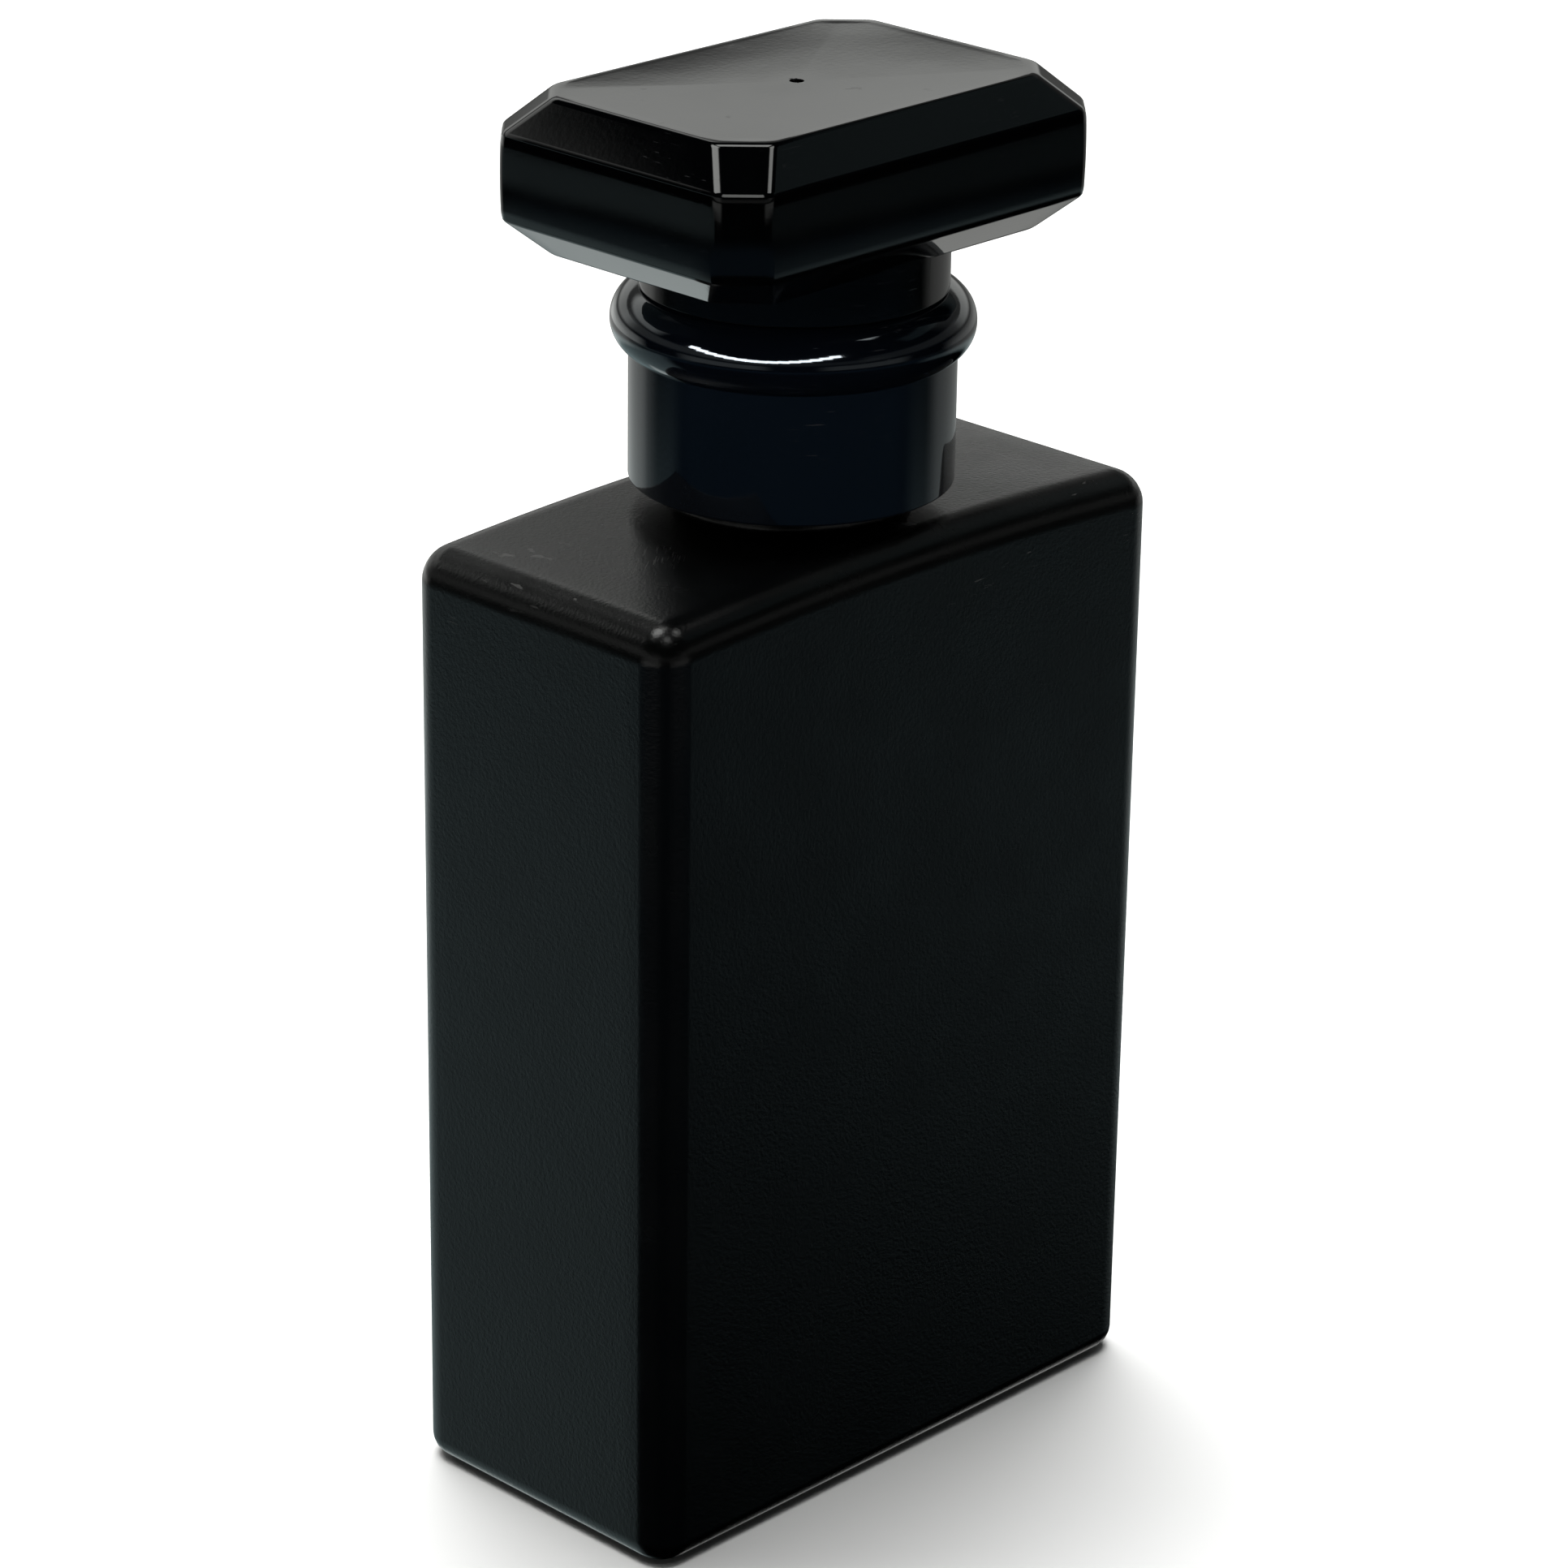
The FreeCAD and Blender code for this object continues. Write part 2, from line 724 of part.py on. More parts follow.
def draw_sphere_half(sketch, radius, bottom):
    """Draw half a circle right of the axis, its lowest point at the given height."""
    low = number(bottom)
    size = number(radius)
    foot = FreeCAD.Vector(0, low, 0)
    side = FreeCAD.Vector(size, low + size, 0)
    head = FreeCAD.Vector(0, low + 2 * size, 0)
    arc = sketch.addGeometry(Part.Arc(foot, side, head))
    line = sketch.addGeometry(Part.LineSegment(head, foot))
    sketch.addConstraint(Sketcher.Constraint("Coincident", arc, 2, line, 1))
    sketch.addConstraint(Sketcher.Constraint("Coincident", arc, 1, line, 2))
    sketch.addConstraint(Sketcher.Constraint("PointOnObject", arc, 3, -2))
    pin(sketch, line, 2, "0", bottom)
    sketch.addConstraint(Sketcher.Constraint("PointOnObject", line, 1, -2))
    at = sketch.addConstraint(Sketcher.Constraint("Radius", arc, size))
    sketch.setExpression("Constraints[%d]" % at, bound(radius))


def nozzle_insert():
    """Spray insert with a swirl chamber behind a fine orifice."""
    body = new_body("nozzle_insert")
    face = new_sketch(body, "insert_circle", "XZ_Plane", "nozzle_seat_y")
    draw_circle(face, "nozzle_radius", up="nozzle_z")
    extrude(body, "Pad", face, "nozzle_length", "insert")
    swirl = new_sketch(body, "swirl_circle", "XZ_Plane", "nozzle_seat_y")
    draw_circle(swirl, "swirl_radius", up="nozzle_z")
    extrude(body, "Pocket", swirl, "swirl_depth", "swirl", reverse=True)
    jet = new_sketch(body, "orifice_circle", "XZ_Plane", "nozzle_seat_y")
    draw_circle(jet, "orifice_radius", up="nozzle_z")
    extrude(body, "Pocket", jet, "2 * nozzle_length", "orifice", reverse=True)
    return finish(body)


def cap_liner():
    """Plain inner cup of the cap that grips the collar's round seat."""
    body = new_body("cap_liner")
    turned(body, "Revolution", "cup", [
        ("liner_inner", "skirt_bottom_z"),
        ("liner_outer", "skirt_bottom_z"),
        ("liner_outer", "liner_top_z"),
        ("0", "liner_top_z"),
        ("0", "liner_top_z - liner_roof"),
        ("liner_inner", "liner_top_z - liner_roof"),
    ])
    return finish(body)


def ring_points(height, width, depth, cut):
    """Corners of one octagonal level of the cap block."""
    up = number(height)
    corners = octagon(width, depth, cut)
    return [FreeCAD.Vector(number(across), number(along), up) for across, along in corners]


def cap_block_solid():
    """The cap's block: a girdle with cut corners and bevels above and below it."""
    small_width = "cap_width / 2 - cap_bevel_inset"
    small_depth = "cap_depth / 2 - cap_bevel_inset"
    rings = [
        ring_points("cap_underside_z", small_width, small_depth, "cap_facet_cut"),
        ring_points("cap_girdle_low_z", "cap_width / 2", "cap_depth / 2", "cap_corner_cut"),
        ring_points("cap_girdle_high_z", "cap_width / 2", "cap_depth / 2", "cap_corner_cut"),
        ring_points("cap_top_z", small_width, small_depth, "cap_facet_cut"),
    ]
    faces = [flat_face(rings[0]), flat_face(rings[-1])]
    for lower, upper in zip(rings, rings[1:]):
        for index in range(len(lower)):
            following = (index + 1) % len(lower)
            corners = [lower[index], lower[following], upper[following], upper[index]]
            faces.append(flat_face(corners))
    block = Part.Solid(Part.Shell(faces))
    block.fix(Part.Precision.confusion(), 0.0, 1.0)
    sharp = block.removeSplitter()
    return sharp.makeFillet(number("cap_edge_radius"), sharp.Edges)


def flat_face(corners):
    """A flat face with the given corners."""
    return Part.Face(Part.makePolygon(corners + corners[:1]))


def add_cap_block(body):
    """Start the cap from its bevelled block."""
    block = DOC.addObject("Part::Feature", "cap_block")
    block.Shape = cap_block_solid()
    body.BaseFeature = block
    DOC.recompute()


def cap_shell():
    """Bevelled rectangular cap with a round skirt, moulded in one thick piece."""
    body = new_body("cap_shell")
    add_cap_block(body)
    skirt = new_sketch(body, "skirt_circle", "XY_Plane", "skirt_bottom_z")
    draw_circle(skirt, "skirt_radius")
    extrude(body, "Pad", skirt, "cap_girdle_low_z - skirt_bottom_z", "skirt")
    bore = new_sketch(body, "bore_circle", "XY_Plane", "skirt_bottom_z")
    draw_circle(bore, "cap_bore_radius")
    extrude(body, "Pocket", bore, "cap_bore_top_z - skirt_bottom_z", "bore", reverse=True)
    sink = new_sketch(body, "sink_arc", "XZ_Plane")
    curve = "(sink_radius^2 + sink_depth^2) / (2 * sink_depth)"
    draw_sphere_half(sink, curve, "cap_top_z - sink_depth")
    turn(body, "Groove", sink, "sink")
    gate = new_sketch(body, "gate_circle", "XY_Plane", "cap_top_z")
    draw_circle(gate, "gate_radius")
    extrude(body, "Pocket", gate, "gate_depth", "gate")
    return finish(body)


BUILDERS = (
    glass_bottle,
    neck_gasket,
    pump_housing,
    pump_closure,
    stem_gasket,
    inlet_ball,
    dip_tube,
    stem,
    piston,
    piston_seat,
    main_spring,
    screw_ferrule,
    collar,
    actuator_button,
    nozzle_insert,
    cap_liner,
    cap_shell,
)


def check_document():
    """Stop if any object failed to compute."""
    for item in DOC.Objects:
        if "Invalid" in item.State or "Error" in item.State:
            raise RuntimeError("%s did not compute" % item.Name)


def export_node(item):
    """Write one node's solid to its STEP file."""
    shape = item.Shape
    if shape.isNull() or not shape.isValid() or len(shape.Solids) != 1:
        raise RuntimeError("%s is not one valid solid" % item.Label)
    shape.exportStep(os.path.join("parts", item.Label + ".step"))
    box = shape.BoundBox
    extent = (item.Label, shape.Volume, box.ZMin, box.ZMax)
    print("%s volume %.1f mm3, z %.2f to %.2f" % extent)


def main():
    """Build every node, check them all and write the STEP files."""
    nodes = [build() for build in BUILDERS]
    DOC.recompute()
    check_document()
    os.makedirs("parts", exist_ok=True)
    for item in nodes:
        export_node(item)


main()
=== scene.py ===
import json
import math

import bmesh
import bpy
from mathutils import Matrix, Vector


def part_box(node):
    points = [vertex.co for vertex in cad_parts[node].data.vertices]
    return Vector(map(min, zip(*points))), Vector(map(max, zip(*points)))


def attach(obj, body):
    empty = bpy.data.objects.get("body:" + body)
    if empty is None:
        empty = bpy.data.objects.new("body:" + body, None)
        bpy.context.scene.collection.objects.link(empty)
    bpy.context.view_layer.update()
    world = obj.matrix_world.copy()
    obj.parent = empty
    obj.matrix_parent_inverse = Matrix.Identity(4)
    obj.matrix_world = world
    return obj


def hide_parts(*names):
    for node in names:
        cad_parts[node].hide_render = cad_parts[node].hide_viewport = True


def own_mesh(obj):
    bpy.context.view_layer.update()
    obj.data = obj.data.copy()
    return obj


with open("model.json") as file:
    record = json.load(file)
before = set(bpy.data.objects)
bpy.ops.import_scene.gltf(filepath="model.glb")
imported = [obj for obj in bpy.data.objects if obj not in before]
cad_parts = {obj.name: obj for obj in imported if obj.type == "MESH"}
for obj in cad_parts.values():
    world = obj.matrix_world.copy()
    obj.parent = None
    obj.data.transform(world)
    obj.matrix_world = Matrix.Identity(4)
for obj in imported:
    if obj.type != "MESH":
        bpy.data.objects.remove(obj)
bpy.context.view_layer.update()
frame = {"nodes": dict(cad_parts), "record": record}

# Looks for a satin black rectangular aftershave bottle with a glossy beaded collar and a
# glossy bevelled cap. Lengths are in metres, written in millimetres times MM.
MM = 0.001

# Bottle
BODY_WIDTH = 45.0 * MM
BODY_DEPTH = 23.0 * MM
SHOULDER_END = 64.0 * MM
CROWN = 0.85 * MM
SIDE_EDGE = 2.3 * MM
SHOULDER_EDGE = 2.25 * MM
HEEL_EDGE = 1.6 * MM
WALL = 3.0 * MM
FLOOR_Z = 6.0 * MM
CEILING_Z = 60.8 * MM
INNER_EDGE = 4.0 * MM
INNER_END_EDGE = 2.5 * MM
PUNT_MARGIN = 5.0 * MM
PUNT_DEPTH = 0.5 * MM
PUNT_CORNER = 3.0 * MM
NECK_RADIUS = 7.55 * MM
NECK_ROOT = 0.6 * MM
LIP_ROUND = 0.3 * MM
BORE_RADIUS = 6.1 * MM
THREAD_PITCH = 3.175 * MM
THREAD_TURNS = 1.25
THREAD_START = 69.3 * MM
THREAD_HEIGHT = 0.85 * MM
THREAD_BASE_HALF = 1.0 * MM
THREAD_CREST_HALF = 0.45 * MM
THREAD_FADE = 0.04

# Collar
SLEEVE_RADIUS = 10.38 * MM
SLEEVE_BORE = 9.6 * MM
BEAD_CENTRE = 9.4 * MM
BEAD_RING = 2.15 * MM
BEAD_Z = 76.75 * MM
SEAT_PLATE_Z = 77.7 * MM
SPIGOT_OUTER = 7.5 * MM
SPIGOT_INNER = 6.85 * MM
SLEEVE_SOFTNESS = 0.14 * MM
SPIGOT_SOFTNESS = 0.15 * MM
BEAD_STEPS = 40

# Cap
CAP_CUT = 2.24 * MM
CAP_FACET_CUT = 2.48 * MM
CAP_INSET = 2.19 * MM
CAP_UNDERSIDE = 82.05 * MM
GIRDLE_LOW = 84.3 * MM
GIRDLE_HIGH = 89.6 * MM
CAP_SOFTNESS = 0.42 * MM
CAP_CORNER_SOFTNESS = 0.46 * MM
GIRDLE_BOW = 0.05 * MM
GIRDLE_STEPS = 24
GIRDLE_END = 0.12 * CAP_SOFTNESS
TOP_MIDDLE = 0.7
SINK_DEPTH = 0.16 * MM
GATE_RADIUS = 0.46 * MM
GATE_DEPTH = 0.6 * MM
GATE_WALL = 0.08 * MM
# Rings of the cap's top: shares of the way out from its middle, then radii at the gate
TOP_SHARES = (0.97, 0.93, 0.88, 0.82, 0.75, 0.67, 0.58, 0.48, 0.38, 0.28, 0.19, 0.12, 0.08)
GATE_RINGS = (
    GATE_RADIUS + 0.12 * MM,
    GATE_RADIUS + 0.01 * MM,
    GATE_RADIUS - 0.01 * MM,
    GATE_RADIUS - GATE_WALL,
    0.5 * GATE_RADIUS,
    0.0,
)
SKIRT_RADIUS = 9.81 * MM
SKIRT_TOP = GIRDLE_LOW - 0.3 * MM
CAP_BORE = 8.56 * MM
CAP_BORE_TOP = 89.3 * MM

# Button
BUTTON_RADIUS = 6.5 * MM
BUTTON_SKIRT = 5.3 * MM
BUTTON_CEILING = 83.4 * MM
BUTTON_BOSS = 3.2 * MM
BUTTON_BOSS_Z = 82.5 * MM
STEM_SOCKET = 1.7 * MM
STEM_SOCKET_TOP = 84.5 * MM
BUTTON_DISH = 0.9 * MM
DISH_WAIST = 3.0 * MM
DISH_WAIST_SHARE = 0.62
BUTTON_RIM = 0.9 * MM
BUTTON_SOFTNESS = 0.45 * MM
NOZZLE_Z = 85.4 * MM
NOZZLE_RADIUS = 1.9 * MM
NOZZLE_GAP = 0.02 * MM
NOZZLE_CUT = 6.0 * MM
NOZZLE_STEPS = 96

# Return spring; the wire and coil sizes are radii
SPRING_FOOT = 56.6 * MM
SPRING_TOP = 65.2 * MM
SPRING_WIRE = 0.225 * MM
SPRING_COIL = 2.4 * MM
SPRING_TURNS = 7.5
CLOSED_TURNS = 0.8
CLOSED_PITCH = 2.05 * SPRING_WIRE

# Camera
LENS_MM = 124.55
SENSOR_MM = 36.0
CAMERA_AZIMUTH = math.radians(-45.98)
CAMERA_ELEVATION = math.radians(22.34)
CAMERA_ROLL = math.radians(0.80)
CAMERA_DISTANCE = 352.4 * MM
AIM_Z = 45.0 * MM
AIM_RIGHT = -0.18 * MM

# Finishes
REFRACTIVE_INDEX = 1.5
DUST_SHARE = 0.008
SCUFFS_FROM = 59.0 * MM
SCUFFS_FULL = 61.5 * MM

# Rubbed place on the coating of the shoulder
WEAR_SPOT = (-14.5 * MM, -1.5 * MM, SHOULDER_END)
WEAR_REACH = 3.2 * MM
WEAR_LEAN = math.radians(38.0)
WEAR_STRETCH = 1 / 16

# Fineness of the meshes
MERGE_REACH = 0.002 * MM
TURN_STEPS = 192
SOFT_STEPS = 5
MOST_OF_EDGE = 0.45
OCTAGON_SOFT_STEPS = 4
OCTAGON_SIDE_STEPS = 10
THREAD_STEPS = 60
SPRING_STEPS_PER_TURN = 48
WIRE_STEPS = 12

# Overhead light
OVERHEAD_SPOT = (0.25, 0.35, 1.5)
OVERHEAD_SPREAD = math.radians(48.0)
OVERHEAD_STRENGTH = 4.3

# Strip of panels that the collar's bead mirrors: degrees of compass from end to end,
# the compass of its lowest place, its elevation there and how strongly it bows up
STRIP_PANELS = 15
STRIP_START = 158.0
STRIP_SWEEP = 94.0
STRIP_LOWEST = 200.0
STRIP_ELEVATION = 13.5
STRIP_BOW = 42.0
STRIP_DISTANCE = 0.6
STRIP_WIDTH = 0.072
STRIP_HEIGHT = 0.075
STRIP_ENERGY = 0.5
# Ray depth of a lamp seen by a first reflection is 2, and by a second one 3
SEEN_ONCE = 2.5

# The room that the gloss mirrors, as soft glowing cards. Each card has its compass
# centre, half width and softness, then the elevations (faded out, full) of its lower
# and upper edges, all in degrees, and its strength. The compass runs from +X to +Y.
GREY_CARDS = (
    # dim wall behind the bottle
    (44, 48, 24, (-10, -4), (42, 34), 0.12),
    # brighter wall at the back left, for the shoulder's rounded edge
    (86, 28, 16, (20, 25), (40, 35), 0.95),
    # wide window behind, for the top of the cap and the shoulder
    (48, 40, 22, (1, 7), (17.4, 15.3), 0.65),
    # pale patches on the floor behind, for the cap's lower bevels
    (71, 9, 8, (-50.5, -48.5), (-39, -42), 0.72),
    (19, 10, 9, (-49, -47), (-37, -40), 0.76),
    # glow along the foot of the wall behind, for the collar's sides and the heel
    (44, 54, 20, (-27, -22), (-3, -9), 0.24),
    (78, 14, 12, (-27, -22), (-3, -9), 0.26),
    # dim walls in front, to the left and to the right
    (224, 40, 30, (1, 6), (16, 10), 0.12),
    (146, 50, 18, (2, 8), (22, 17), 0.24),
    (314, 36, 16, (2, 8), (22, 17), 0.13),
    # ring of lamps overhead, for the edges of the cap's bevels and facets
    (112, 24, 12, (54, 59), (82, 77), 4.5),
    (44, 22, 10, (60, 64), (77, 73), 4.0),
    (-24, 16, 10, (60, 64), (77, 73), 3.5),
    (224, 16, 10, (60, 64), (77, 73), 2.5),
    # low window square to each side of the bottle
    (0, 18, 16, (-14.3, -12), (2, -3), 0.2),
    (90, 18, 16, (-14.3, -12), (2, -3), 0.8),
    (180, 18, 16, (-14.3, -12), (2, -3), 0.5),
    (270, 18, 16, (-14.3, -12), (2, -3), 0.35),
)
TEAL_CARDS = (
    # floor to the left, for the narrow face, and a lift for the cap's left side
    (96, 31, 16, (-70, -50), (-16.8, -22), 0.42),
    (136, 20, 14, (-17.2, -15.6), (-12.8, -14.2), 0.15),
    # floor to the right, for the wide face
    (-5, 30, 18, (-28.5, -24), (-16.8, -22.0), 0.27),
    # high wall to the right, for the cap's upper bevel, and a lift for its right side
    (-18, 24, 10, (33, 36), (48, 43), 0.10),
    (-44, 20, 14, (-17.2, -15.6), (-12.4, -14), 0.045),
)
BLUE_CARDS = (
    # floor in front, for the collar
    (224, 70, 40, (-26, -21), (-16.3, -18.5), 0.075),
)
ROOM = (
    ((0.985, 1.0, 0.97), GREY_CARDS),
    ((0.74, 0.97, 1.0), TEAL_CARDS),
    ((0.36, 0.68, 1.0), BLUE_CARDS),
)


def box_low(node):
    """Lowest Z of a CAD node."""
    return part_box(node)[0][2]


def box_high(node):
    """Highest Z of a CAD node."""
    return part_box(node)[1][2]


def mixed(first, second, share):
    """The point a share of the way from first to second."""
    return tuple(a + (b - a) * share for a, b in zip(first, second))


def span(first, second):
    """Distance between two points of any dimension."""
    return math.sqrt(sum((a - b) ** 2 for a, b in zip(first, second)))


def soften(points, reach, closed, steps=SOFT_STEPS):
    """Round each corner of a polyline by a curve that starts at a reach from it."""
    out = []
    count = len(points)
    for index, corner in enumerate(points):
        inner = closed or 0 < index < count - 1
        if not inner:
            out.append(corner)
            continue
        before = points[index - 1]
        after = points[(index + 1) % count]
        back = min(reach, MOST_OF_EDGE * span(corner, before))
        ahead = min(reach, MOST_OF_EDGE * span(corner, after))
        start = mixed(corner, before, back / span(corner, before))
        end = mixed(corner, after, ahead / span(corner, after))
        for step in range(steps + 1):
            share = step / steps
            left = mixed(start, corner, share)
            right = mixed(corner, end, share)
            out.append(mixed(left, right, share))
    return out


def arc(centre_r, centre_z, radius, start, end, steps):
    """Points of an arc in the (radius, height) plane, angles in degrees."""
    out = []
    for step in range(steps + 1):
        angle = math.radians(start + (end - start) * step / steps)
        out.append((centre_r + radius * math.cos(angle), centre_z + radius * math.sin(angle)))
    return out


def mesh_from_rings(name, rings, closed=False):
    """Skin a list of equal rings; open skins are filled at both ends."""
    mesh = bmesh.new()
    rows = [[mesh.verts.new(point) for point in ring] for ring in rings]
    count = len(rows[0])
    pairs = list(zip(rows, rows[1:]))
    if closed:
        pairs.append((rows[-1], rows[0]))
    for lower, upper in pairs:
        for index in range(count):
            following = (index + 1) % count
            quad = (lower[index], lower[following], upper[following], upper[index])
            mesh.faces.new(quad)
    if not closed:
        mesh.faces.new(list(reversed(rows[0])))
        mesh.faces.new(rows[-1])
    bmesh.ops.remove_doubles(mesh, verts=mesh.verts, dist=1e-7)
    bmesh.ops.recalc_face_normals(mesh, faces=mesh.faces)
    data = bpy.data.meshes.new(name)
    mesh.to_mesh(data)
    mesh.free()
    piece = bpy.data.objects.new(name, data)
    bpy.context.scene.collection.objects.link(piece)
    return piece


def circle(radius, height, steps=TURN_STEPS):
    """A ring of points about the Z axis."""
    turn = 2 * math.pi / steps
    return [
        (radius * math.cos(turn * i), radius * math.sin(turn * i), height)
        for i in range(steps)
    ]


def turned(name, outline, reach=0.12 * MM, closed=True, steps=TURN_STEPS):
    """Revolve an outline of (radius, height) points with its corners softened."""
    smooth = soften(outline, reach, closed)
    rings = [circle(radius, height, steps) for radius, height in smooth]
    return mesh_from_rings(name, rings, closed)


def shade(piece, sharp_degrees=38.0):
    """Smooth shading that keeps flat faces flat and real creases sharp."""
    for face in piece.data.polygons:
        face.use_smooth = True
    piece.data.set_sharp_from_angle(angle=math.radians(sharp_degrees))
    even = piece.modifiers.new("even_normals", "WEIGHTED_NORMAL")
    even.keep_sharp = True
    even.weight = 100


def clean(piece):
    """Merge points that a boolean left on top of each other and drop slivers."""
    mesh = bmesh.new()
    mesh.from_mesh(piece.data)
    bmesh.ops.remove_doubles(mesh, verts=mesh.verts, dist=MERGE_REACH)
    bmesh.ops.dissolve_degenerate(mesh, edges=mesh.edges, dist=MERGE_REACH)
    mesh.to_mesh(piece.data)
    mesh.free()


def combine(piece, tool, operation):
    """Apply a boolean with a tool mesh and remove the tool."""
    step = piece.modifiers.new("cut", "BOOLEAN")
    step.operation = operation
    step.solver = "EXACT"
    step.object = tool
    bpy.context.view_layer.update()
    graph = bpy.context.evaluated_depsgraph_get()
    result = bpy.data.meshes.new_from_object(piece.evaluated_get(graph))
    piece.modifiers.clear()
    piece.data = result
    bpy.data.objects.remove(tool)
    clean(piece)


def place(piece, node, body, material):
    """Let a mesh stand for a CAD node on its body with its finish."""
    piece.data.materials.clear()
    piece.data.materials.append(material)
    shade(piece)
    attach(piece, body)
    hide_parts(node)


# --- node helpers -------------------------------------------------------------------


def new_material(name):
    """An empty node material and its tree."""
    material = bpy.data.materials.new(name)
    material.use_nodes = True
    tree = material.node_tree
    tree.nodes.clear()
    return material, tree


def add(tree, kind, **settings):
    """Add a node; settings name its properties."""
    node = tree.nodes.new(kind)
    for key, value in settings.items():
        setattr(node, key, value)
    return node


def math_node(tree, operation, first, second=None):
    """A maths node; each input is a socket or a number."""
    node = add(tree, "ShaderNodeMath", operation=operation)
    for index, value in enumerate((first, second)):
        feed(tree, node.inputs[index], value)
    return node.outputs[0]


def feed(tree, socket, value):
    """Link a socket or set a plain value."""
    if value is None:
        return
    if isinstance(value, bpy.types.NodeSocket):
        tree.links.new(value, socket)
    else:
        socket.default_value = value


def ramp(tree, value, low, high, out_low=0.0, out_high=1.0):
    """Smoothly map a value from one range to another."""
    node = add(tree, "ShaderNodeMapRange", interpolation_type="SMOOTHSTEP")
    for socket, item in zip(node.inputs, (value, low, high, out_low, out_high)):
        feed(tree, socket, item)
    return node.outputs[0]


def noise(tree, scale, detail=2.0, roughness=0.5, vector=None):
    """Noise in the object's own space."""
    node = add(tree, "ShaderNodeTexNoise")
    node.inputs["Scale"].default_value = scale
    node.inputs["Detail"].default_value = detail
    node.inputs["Roughness"].default_value = roughness
    source = vector or add(tree, "ShaderNodeTexCoord").outputs["Object"]
    tree.links.new(source, node.inputs["Vector"])
    return node.outputs["Fac"]


def colour_mix(tree, factor, first, second):
    """Blend two colours by a factor."""
    node = add(tree, "ShaderNodeMix", data_type="RGBA")
    feed(tree, node.inputs["Factor"], factor)
    feed(tree, node.inputs["A"], (*first, 1.0) if isinstance(first, tuple) else first)
    feed(tree, node.inputs["B"], (*second, 1.0) if isinstance(second, tuple) else second)
    return node.outputs["Result"]


def bump(tree, height, strength, distance, below=None):
    """A bump normal from a height, stacked on an earlier one."""
    node = add(tree, "ShaderNodeBump")
    node.inputs["Strength"].default_value = strength
    node.inputs["Distance"].default_value = distance
    tree.links.new(height, node.inputs["Height"])
    if below is not None:
        tree.links.new(below, node.inputs["Normal"])
    return node.outputs["Normal"]


def surface(tree, colour, roughness, normal=None, **constants):
    """A principled surface; constants are set on its own sockets."""
    shader = add(tree, "ShaderNodeBsdfPrincipled")
    feed(tree, shader.inputs["Base Color"], (*colour, 1.0) if isinstance(colour, tuple) else colour)
    feed(tree, shader.inputs["Roughness"], roughness)
    for key, value in constants.items():
        shader.inputs[key.replace("_", " ")].default_value = value
    if normal is not None:
        tree.links.new(normal, shader.inputs["Normal"])
    output = add(tree, "ShaderNodeOutputMaterial")
    tree.links.new(shader.outputs[0], output.inputs["Surface"])
    return shader


def specks(tree, scale, share):
    """Sparse dust specks: 1 inside a speck, 0 elsewhere."""
    cells = add(tree, "ShaderNodeTexVoronoi", feature="F1")
    cells.inputs["Scale"].default_value = scale
    cells.inputs["Randomness"].default_value = 1.0
    tree.links.new(add(tree, "ShaderNodeTexCoord").outputs["Object"], cells.inputs["Vector"])
    near = ramp(tree, cells.outputs["Distance"], low=0.10, high=0.05)
    split = add(tree, "ShaderNodeSeparateColor")
    tree.links.new(cells.outputs["Color"], split.inputs[0])
    chosen = math_node(tree, "LESS_THAN", split.outputs[0], share)
    return math_node(tree, "MULTIPLY", near, chosen)


# --- materials ----------------------------------------------------------------------


def scuffs(tree, stretch, scale, rarity):
    """Sparse fine rubbing marks: 1 on a mark, 0 elsewhere."""
    lean = add(tree, "ShaderNodeMapping")
    lean.inputs["Scale"].default_value = stretch
    lean.inputs["Rotation"].default_value = (0.3, 0.5, 0.6)
    tree.links.new(add(tree, "ShaderNodeTexCoord").outputs["Object"], lean.inputs["Vector"])
    fine = noise(tree, scale, vector=lean.outputs[0])
    lines = ramp(tree, fine, low=rarity, high=rarity + 0.04)
    patches = ramp(tree, noise(tree, scale=130.0, detail=1.0), low=0.56, high=0.66)
    return math_node(tree, "MULTIPLY", lines, patches)


def above(tree, low, high):
    """Rises from 0 to 1 between two heights of the object."""
    split = add(tree, "ShaderNodeSeparateXYZ")
    tree.links.new(add(tree, "ShaderNodeTexCoord").outputs["Object"], split.inputs[0])
    return ramp(tree, split.outputs["Z"], low, high)


def corner_wear(tree):
    """Thin parallel rubbing marks on the shoulder by the front corner."""
    coords = add(tree, "ShaderNodeTexCoord").outputs["Object"]
    reach = add(tree, "ShaderNodeVectorMath", operation="DISTANCE")
    tree.links.new(coords, reach.inputs[0])
    reach.inputs[1].default_value = WEAR_SPOT
    patch = ramp(tree, reach.outputs["Value"], low=WEAR_REACH, high=0.3 * WEAR_REACH)
    lean = add(tree, "ShaderNodeMapping", vector_type="TEXTURE")
    lean.inputs["Rotation"].default_value = (0.0, 0.0, WEAR_LEAN)
    lean.inputs["Scale"].default_value = (1.0, WEAR_STRETCH, 1.0)
    tree.links.new(coords, lean.inputs["Vector"])
    fine = noise(tree, scale=420.0, vector=lean.outputs[0])
    lines = ramp(tree, fine, low=0.59, high=0.65)
    return math_node(tree, "MULTIPLY", lines, patch)


